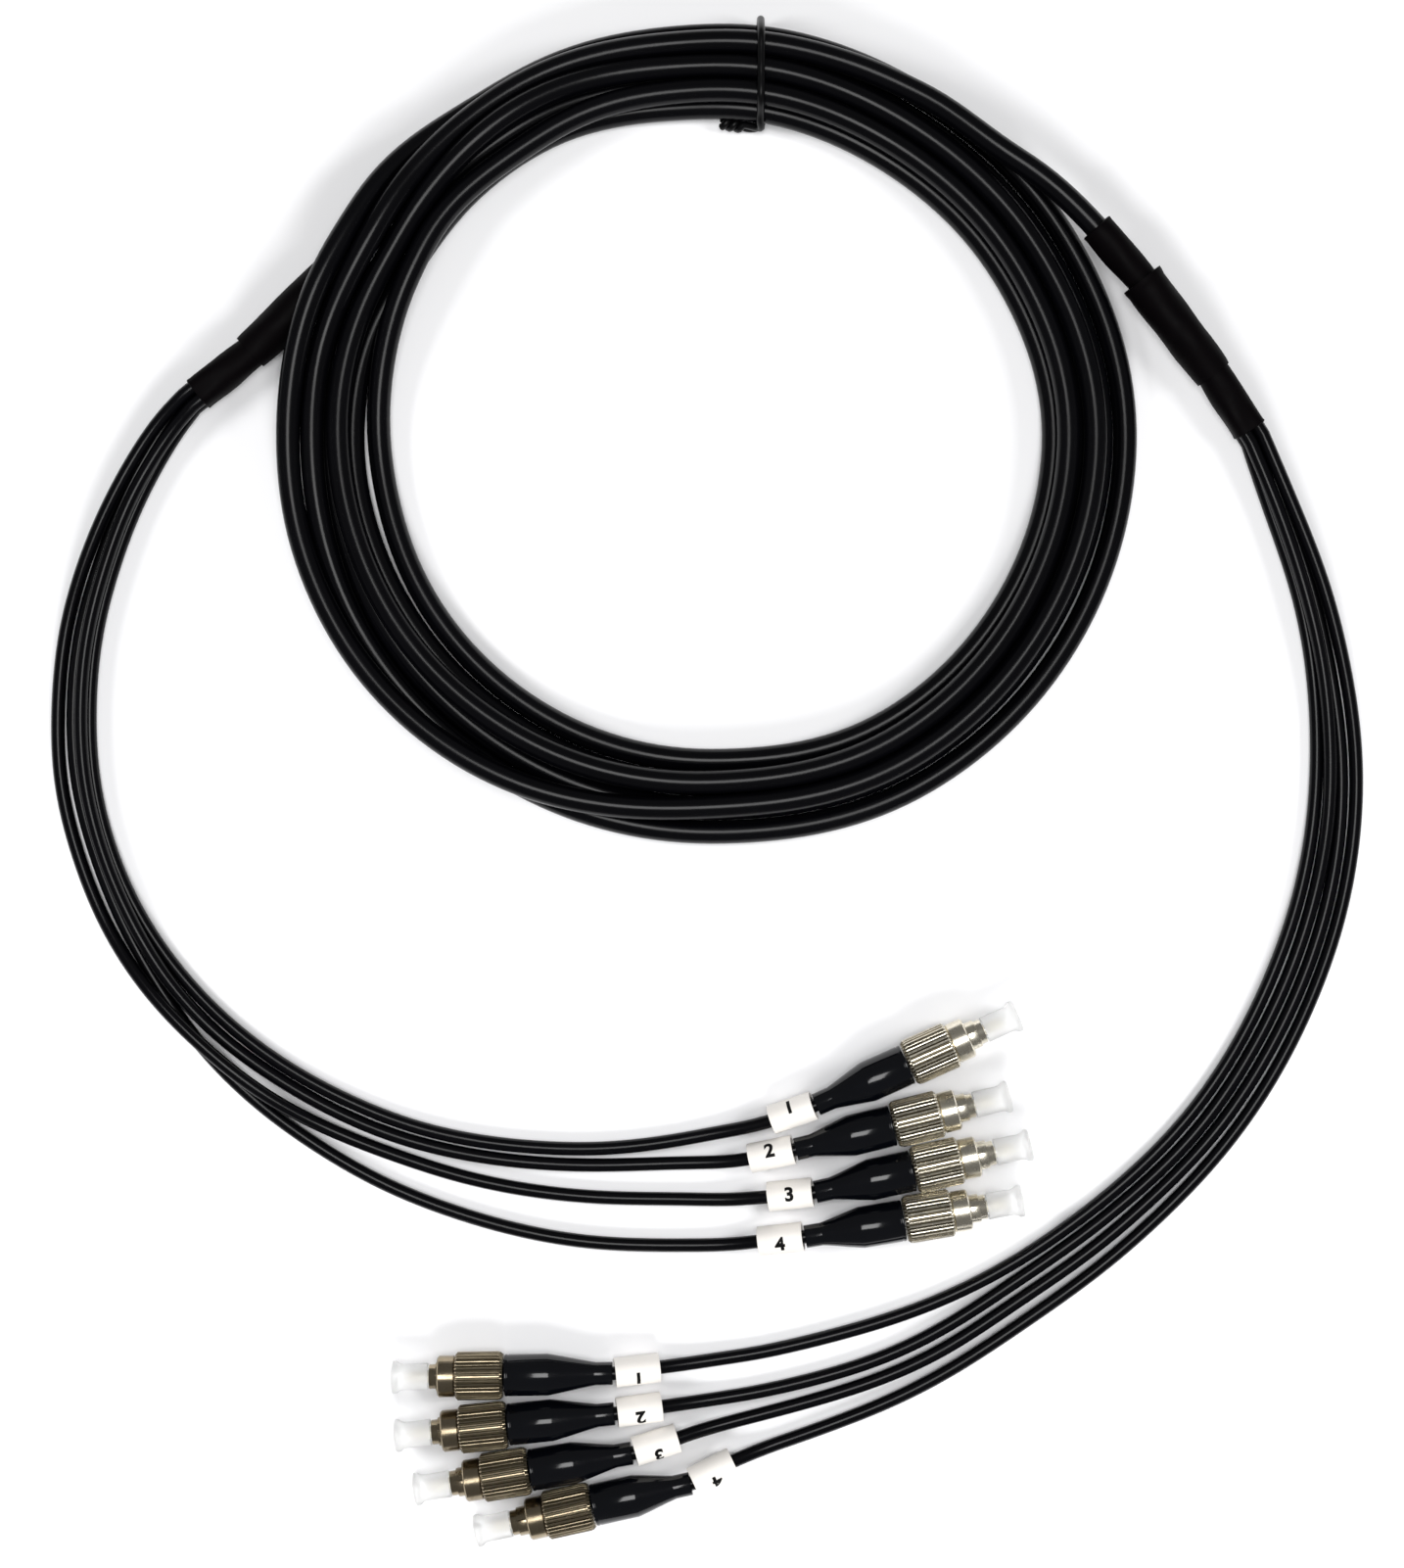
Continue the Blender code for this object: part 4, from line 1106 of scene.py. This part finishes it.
    def build_body(self, material: bpy.types.Material) -> bpy.types.Object:
        """Build the barrel with its flange, its stepped front and the key.

        Args:
            material: Its finish.

        Returns:
            The barrel.
        """
        rear = self.nut_rear()
        barrel = self.barrel_diameter / 2
        flange = self.flange_diameter / 2
        flange_start = rear + self.back_wall + GAP
        flange_end = flange_start + self.flange_length
        front = self.barrel_front
        step = barrel - self.step_drop
        cup = self.ferrule_diameter / 2 + self.cup_clearance
        profile = [
            (rear, 0.0), (rear, barrel), (flange_start, barrel), (flange_start, flange),
            (flange_end, flange), (flange_end, barrel), (front - self.step_length, barrel),
            (front - self.step_length, step), (front, step), (front, cup),
            (front - self.cup_depth, cup), (front - self.cup_depth, 0.0),
        ]
        solid = turned(profile, edge=self.barrel_rounding)
        key = bmesh.ops.create_cube(solid, size=1.0)["verts"]
        middle = (front - self.key_behind_front, 0.0, barrel - self.key_sink)
        bmesh.ops.transform(solid, verts=key, matrix=(
            Matrix.Translation(middle) @ Matrix.Diagonal((*self.key_size, 1.0))))
        lines = list({line for vertex in key for line in vertex.link_edges})
        bmesh.ops.bevel(solid, geom=lines, offset=self.key_rounding, affect="EDGES", segments=2,
                        profile=0.5, material=-1)
        keep_axis(solid)
        piece = place_piece(f"barrel_{self.name}", solid, self.place(), material)
        dress(piece, [f"connector_body_{self.name}"])
        return piece

    def build_ferrule(self, material: bpy.types.Material) -> bpy.types.Object:
        """Build the ferrule, chamfered and slightly domed at its polished end.

        Args:
            material: Its finish.

        Returns:
            The ferrule.
        """
        radius = self.ferrule_diameter / 2
        start = self.barrel_front - self.cup_depth
        tip = self.barrel_front + self.ferrule_length
        profile = [
            (start, 0.0), (start, radius), (tip - self.ferrule_chamfer, radius),
            (tip - self.ferrule_dome, radius - self.ferrule_chamfer_drop), (tip, 0.0),
        ]
        solid = turned(profile, edge=self.ferrule_rounding, segments=self.ferrule_steps)
        piece = place_piece(f"ferrule_{self.name}", solid, self.place(), material)
        dress(piece, [])
        return piece

    def knurl(self, solid: bmesh.types.BMesh) -> None:
        """Press the straight ribs into the nut's grip, its grooves in the second material, which
        paints shade into them.
        """
        outer = self.nut_diameter / 2
        for vertex in solid.verts:
            radius = math.hypot(vertex.co.y, vertex.co.z)
            if radius < outer - self.rib_base:
                continue
            turn = math.atan2(vertex.co.z, vertex.co.y)
            height = self.rib_width + self.rib_steepness * math.cos(turn * self.ribs)
            wave = max(-1.0, min(1.0, height))
            factor = 1 - self.rib_depth / outer * (0.5 - 0.5 * wave)
            vertex.co.y *= factor
            vertex.co.z *= factor
        # Faces down in the grooves take the second, darker finish: painted shade
        shallow, deep = self.groove_shade_depths
        grip_end = self.knurl_length - self.groove_shade_margin
        for face in solid.faces:
            middle = face.calc_center_median()
            depth = (outer - math.hypot(middle.y, middle.z)) / self.rib_depth
            if middle.x < grip_end and shallow < depth < deep:
                face.material_index = 1

    def build_nut(self, material: bpy.types.Material,
                  grooves: bpy.types.Material) -> bpy.types.Object:
        """Build the coupling nut: chamfered knurled grip, grooved neck and threaded bore.

        Args:
            material: Its finish.
            grooves: The finish between its ribs, darkened with painted shade.

        Returns:
            The nut.
        """
        outer = self.nut_diameter / 2
        neck = self.neck_diameter / 2
        thread = self.thread_diameter / 2
        back = self.barrel_diameter / 2 + GAP
        grip = self.knurl_length
        length = grip + self.neck_length
        root = thread + self.thread_depth
        land = outer - self.rear_land_drop
        groove_end = grip + self.neck_groove
        groove = neck - self.neck_chamfer
        thread_end = length - self.neck_chamfer
        profile = [
            (0.0, back), (0.0, outer - self.rear_chamfer), (self.rear_chamfer, land),
            (self.rear_land, land), (self.ribs_from, outer), (grip - self.front_chamfer, outer),
            (grip, outer - self.front_chamfer), (grip, groove), (groove_end, groove),
            (groove_end, neck), (thread_end, neck), (length, groove),
            (length, thread + self.thread_mouth),
        ]
        for number in range(self.thread_crests):
            at = thread_end - self.thread_pitch * number
            profile += [(at, thread), (at - self.thread_pitch / 2, root)]
        profile += [(thread_end - self.thread_pitch * self.thread_crests, thread),
                    (self.back_wall, thread), (self.back_wall, back)]
        solid = turned(profile, ring=True, segments=self.ribs * self.rib_points)
        self.knurl(solid)
        axis = self.place() @ Matrix.Translation((self.nut_rear(), 0.0, 0.0))
        piece = place_piece(f"knurled_nut_{self.name}", solid, axis, material)
        piece.data.materials.append(grooves)
        dress(piece, [f"coupling_nut_{self.name}"], f"nut_{self.name}")
        return piece

    def build_cap(self, material: bpy.types.Material) -> bpy.types.Object:
        """Build the dust cap: a thin cup with a flared closed end.

        Args:
            material: Its finish.

        Returns:
            The cap.
        """
        bore = self.ferrule_diameter / 2 + GAP
        wall = self.cap_diameter / 2
        rim = self.cap_rim_diameter / 2
        length = self.cap_length
        bottom = length - self.cap_end_wall
        rim_start = length - self.cap_rim_length
        dimple = length - self.cap_dimple_depth
        profile = [
            (bottom, 0.0), (bottom, bore), (self.cap_mouth, bore),
            (0.0, bore + self.cap_mouth_flare), (0.0, wall),
            (rim_start - self.cap_waist, wall - self.cap_swell),
            (rim_start - self.cap_flare, wall + self.cap_swell),
            (rim_start, rim - self.cap_swell), (rim_start + self.cap_rim_edge, rim),
            (length - self.cap_rim_edge, rim), (length, rim - self.cap_rim_edge),
            (length, self.cap_dimple_radius), (dimple, self.cap_dimple_floor), (dimple, 0.0),
        ]
        solid = turned(profile, edge=self.cap_rounding, segments=self.cap_steps)
        axis = self.place() @ Matrix.Translation((self.barrel_front + GAP, 0.0, 0.0))
        piece = place_piece(f"flared_cap_{self.name}", solid, axis, material)
        dress(piece, [f"dust_cap_{self.name}"], f"cap_{self.name}")
        return piece


@dataclass
class Leg:
    """One leg: its cord, its number marker and the printed number."""

    connector: Connector
    breakout: Breakout
    diameter: float = LEG_DIAMETER
    pack_pitch: float = 0.0031
    straight: float = 0.0020
    in_sleeve: float = 0.0040
    in_boot: float = 0.0019
    spacing: float = 0.0022
    section_fineness: int = 6
    marker_diameter: float = 0.0062
    marker_wall: float = 0.0005
    marker_length: float = 0.0095
    marker_rounding: float = 0.0001
    marker_line_spacing: float = 0.0087
    digit_size: float = 0.0041
    digit_weight: float = 0.00016
    digit_lift: float = 0.00003
    digit_slice: float = 0.0003
    digit_merge: float = 1e-6

    def route(self, spacing: float) -> list[Vector]:
        """Middle line from the sleeve's mouth to the boot's tip.

        Args:
            spacing: Distance between its points.

        Returns:
            The points.
        """
        start, direction = self.breakout.leg_axis()
        turn = -90 if self.breakout.side is Side.LEFT else 90
        outward = heading_vector(self.breakout.heading + self.breakout.leg_bend + turn)
        out, up = self.connector.pack_place
        half = self.pack_pitch / 2
        first = (start + direction * (self.breakout.leg_sleeve_length + GAP)
                 + outward * out * half + Vector((0.0, 0.0, up * half)))
        inwards = heading_vector(self.connector.heading)
        last = Vector((*self.connector.tip, self.connector.nut_diameter / 2)) - inwards * GAP
        stops = [first + direction * self.straight]
        stops += [Vector(point) for point in LEG_ROUTES[self.connector.name]]
        stops += [last - inwards * self.straight]
        return [first] + smooth_route(stops, spacing, self.diameter / 2) + [last]

    def build_cord(self, material: bpy.types.Material) -> bpy.types.Object:
        """Build the leg's cord, its ends inside the sleeve and the boot.

        Args:
            material: Its finish.

        Returns:
            The cord.
        """
        points = self.route(self.spacing)
        direction = self.breakout.leg_axis()[1]
        inwards = heading_vector(self.connector.heading)
        points = ([points[0] - direction * self.in_sleeve] + points
                  + [points[-1] + inwards * (self.in_boot + GAP)])
        LOG.info("leg %s measures %.3f m", self.connector.name, route_length(points))
        piece = round_cord(f"leg_cord_{self.connector.name}", points, self.diameter, material,
                           self.section_fineness)
        dress(piece, [f"leg_{self.connector.name}"])
        return piece

    def marker_place(self) -> Matrix:
        """Matrix of the marker's axis, pointing towards the boot and hanging on the leg."""
        points = self.route(self.marker_line_spacing)
        radius = self.marker_diameter / 2
        hang = radius - self.marker_wall - self.diameter / 2 - GAP
        ends = [point_from_end(points, GAP), point_from_end(points, GAP + self.marker_length)]
        for end in ends:
            end.z = max(end.z - hang, radius)
        return along_axis(ends[1], ends[0] - ends[1])

    def build_marker(self, material: bpy.types.Material) -> bpy.types.Object:
        """Build the marker, a cut length of soft tube.

        Args:
            material: Its finish.

        Returns:
            The marker.
        """
        radius = self.marker_diameter / 2
        bore = radius - self.marker_wall
        profile = [(0.0, bore), (0.0, radius), (self.marker_length, radius),
                   (self.marker_length, bore)]
        solid = turned(profile, ring=True, edge=self.marker_rounding)
        piece = place_piece(f"number_sleeve_{self.connector.name}", solid, self.marker_place(),
                            material)
        dress(piece, [f"marker_{self.connector.name}"])
        return piece

    def build_digit(self, material: bpy.types.Material) -> bpy.types.Object:
        """Build the printed number, wrapped round the marker.

        Args:
            material: Its finish.

        Returns:
            The number.
        """
        text = bpy.data.curves.new("digit", "FONT")
        text.body = self.connector.name[1]
        text.size = self.digit_size
        text.offset = self.digit_weight
        text.align_x = "CENTER"
        text.align_y = "CENTER"
        holder = bpy.data.objects.new("digit", text)
        bpy.context.collection.objects.link(holder)
        bpy.context.view_layer.update()
        mesh = bpy.data.meshes.new_from_object(holder)
        solid = bmesh.new()
        solid.from_mesh(mesh)
        bpy.data.objects.remove(holder)
        bpy.data.meshes.remove(mesh)
        bmesh.ops.remove_doubles(solid, verts=solid.verts[:], dist=self.digit_merge)
        reach = math.ceil(self.digit_size / self.digit_slice)
        for number in range(-reach, reach + 1):
            bmesh.ops.bisect_plane(solid, geom=solid.verts[:] + solid.edges[:] + solid.faces[:],
                                   plane_co=(0.0, number * self.digit_slice, 0.0),
                                   plane_no=(0.0, 1.0, 0.0))
        radius = self.marker_diameter / 2 + self.digit_lift
        for vertex in solid.verts:
            turn = (vertex.co.y + self.connector.digit_up) / radius
            vertex.co = (self.marker_length / 2 + vertex.co.x, radius * math.sin(turn),
                         radius * math.cos(turn))
        piece = place_piece(f"number_{self.connector.name}", solid, self.marker_place(), material)
        dress(piece, [])
        return piece


@dataclass(frozen=True)
class Softbox:
    """A square soft light, turned to the middle of the floor."""

    name: str
    place: tuple[float, float, float]
    size: float
    power: float
    mirrored: bool

    def build(self) -> None:
        """Build the light, which glossy pieces reflect only if it is mirrored."""
        lamp = bpy.data.lights.new(self.name, "AREA")
        lamp.shape = "SQUARE"
        lamp.size = self.size
        lamp.energy = self.power
        item = bpy.data.objects.new(self.name, lamp)
        item.location = self.place
        item.visible_glossy = self.mirrored
        item.rotation_euler = (-Vector(self.place)).to_track_quat("-Z", "Y").to_euler()
        bpy.context.collection.objects.link(item)


# Name, place, size and power, and whether it is mirrored: only the one overhead, so that each
# turn of the cable carries one highlight
SOFTBOXES = [
    Softbox("left_softbox", (-0.62, 0.10, 0.45), 0.24, 2.6, False),
    Softbox("right_softbox", (0.62, 0.10, 0.45), 0.24, 2.6, False),
    Softbox("front_softbox", (0.05, -0.62, 0.48), 0.24, 3.8, False),
    Softbox("overhead_softbox", (0.0, 0.02, 0.95), 0.36, 3.4, True),
]


@dataclass
class Studio:
    """The floor, the soft lights and the camera straight overhead."""

    camera_place: tuple[float, float, float] = (-0.00104, -0.00037, 0.550)
    lens: float = 59.363
    sensor: float = 36.0
    floor_size: float = 4.0
    world_colour: tuple[float, float, float, float] = (1.0, 1.0, 1.0, 1.0)
    world_strength: float = 0.16

    def build_camera(self) -> None:
        """Build the camera that looks straight down, +Y up in the picture."""
        camera = bpy.data.cameras.new("camera")
        camera.lens = self.lens
        camera.sensor_width = self.sensor
        camera.sensor_fit = "AUTO"
        item = bpy.data.objects.new("camera", camera)
        item.location = self.camera_place
        bpy.context.collection.objects.link(item)
        bpy.context.scene.camera = item

    def build_floor(self, material: bpy.types.Material) -> None:
        """Build the pale floor under the cable."""
        solid = bmesh.new()
        bmesh.ops.create_grid(solid, x_segments=1, y_segments=1, size=self.floor_size / 2)
        place_piece("floor", solid, Matrix.Identity(4), material, flat=True)

    def build_lights(self) -> None:
        """Build the soft lights and the even light of the white room."""
        for softbox in SOFTBOXES:
            softbox.build()
        world = bpy.data.worlds.new("studio")
        world.use_nodes = True
        background = world.node_tree.nodes["Background"]
        background.inputs["Color"].default_value = self.world_colour
        background.inputs["Strength"].default_value = self.world_strength
        bpy.context.scene.world = world
        bpy.context.scene.view_settings.view_transform = "Standard"


def connectors() -> list[Connector]:
    """The eight connectors, a1 to a4 at the left breakout's legs and b1 to b4 at the right's.

    The tips weren't chosen by hand either: the first of the two programs behind LEG_ROUTES worked
    them out.

    Returns:
        Each with its name, the boot's tip, its heading in degrees, how much longer its boot is,
        how far its number is turned up, its leg's length and the leg's corner of the pack.
    """
    return [
        Connector("a1", (0.0230, -0.0680), 24.0, 0.0, 0.0018, 0.279, (-1, -1)),
        Connector("a2", (0.0187, -0.0774), 14.0, 0.0, 0.0012, 0.284, (-1, 1)),
        Connector("a3", (0.0228, -0.0864), 12.5, 0.0, 0.0004, 0.300, (1, 1)),
        Connector("a4", (0.0207, -0.0958), 9.5, 0.0, -0.0008, 0.292, (1, -1)),
        Connector("b1", (-0.0199, -0.1246), 181.0, 0.0017, 0.0013, 0.291, (-1, -1)),
        Connector("b2", (-0.0195, -0.1331), 185.8, 0.0014, 0.0011, 0.304, (-1, 1)),
        Connector("b3", (-0.0158, -0.1414), 189.5, 0.0006, 0.0017, 0.302, (1, -1)),
        Connector("b4", (-0.0034, -0.1478), 192.5, 0.0, 0.0017, 0.304, (1, 1)),
    ]


def main() -> None:
    """Build the camera, every piece of the cable, the floor and the lights."""
    logging.basicConfig(level=logging.INFO, format="%(message)s")
    studio = Studio()
    studio.build_camera()
    left = Breakout(Side.LEFT, heading=223.6, leg_bend=-5.0, trunk_bend=6.0, dip=0.0)
    right = Breakout(Side.RIGHT, heading=-51.7, leg_bend=-4.5, trunk_bend=4.0, dip=4.5)
    jacket = JACKET.build()
    Trunk(left, right).build(jacket)
    vinyl = MARKER_VINYL.build()
    ink = PRINT_INK.build()
    boot = BOOT_VINYL.build()
    bright = BRIGHT_NICKEL.build()
    warm = WARM_NICKEL.build()
    ceramic = ZIRCONIA.build()
    plastic = CAP_PLASTIC.build()
    # Darker nickel for the knurl's grooves: painted shade
    dull = GROOVE_SHADE_NICKEL.build()
    for connector in connectors():
        end_a = connector.name.startswith("a")
        leg = Leg(connector, left if end_a else right)
        metal = bright if end_a else warm
        cord = leg.build_cord(jacket)
        pieces = [
            leg.build_marker(vinyl), leg.build_digit(ink), connector.build_boot(boot),
            connector.build_body(metal), connector.build_ferrule(ceramic),
            connector.build_nut(metal, dull), connector.build_cap(plastic),
        ]
        mouth, direction = leg.breakout.leg_axis()
    shrink = HEAT_SHRINK.build()
    left.build(shrink)
    right.build(shrink)
    Tie().build(TIE_COATING.build())
    studio.build_floor(FLOOR_PAPER.build())
    studio.build_lights()


if __name__ == "__main__":
    main()
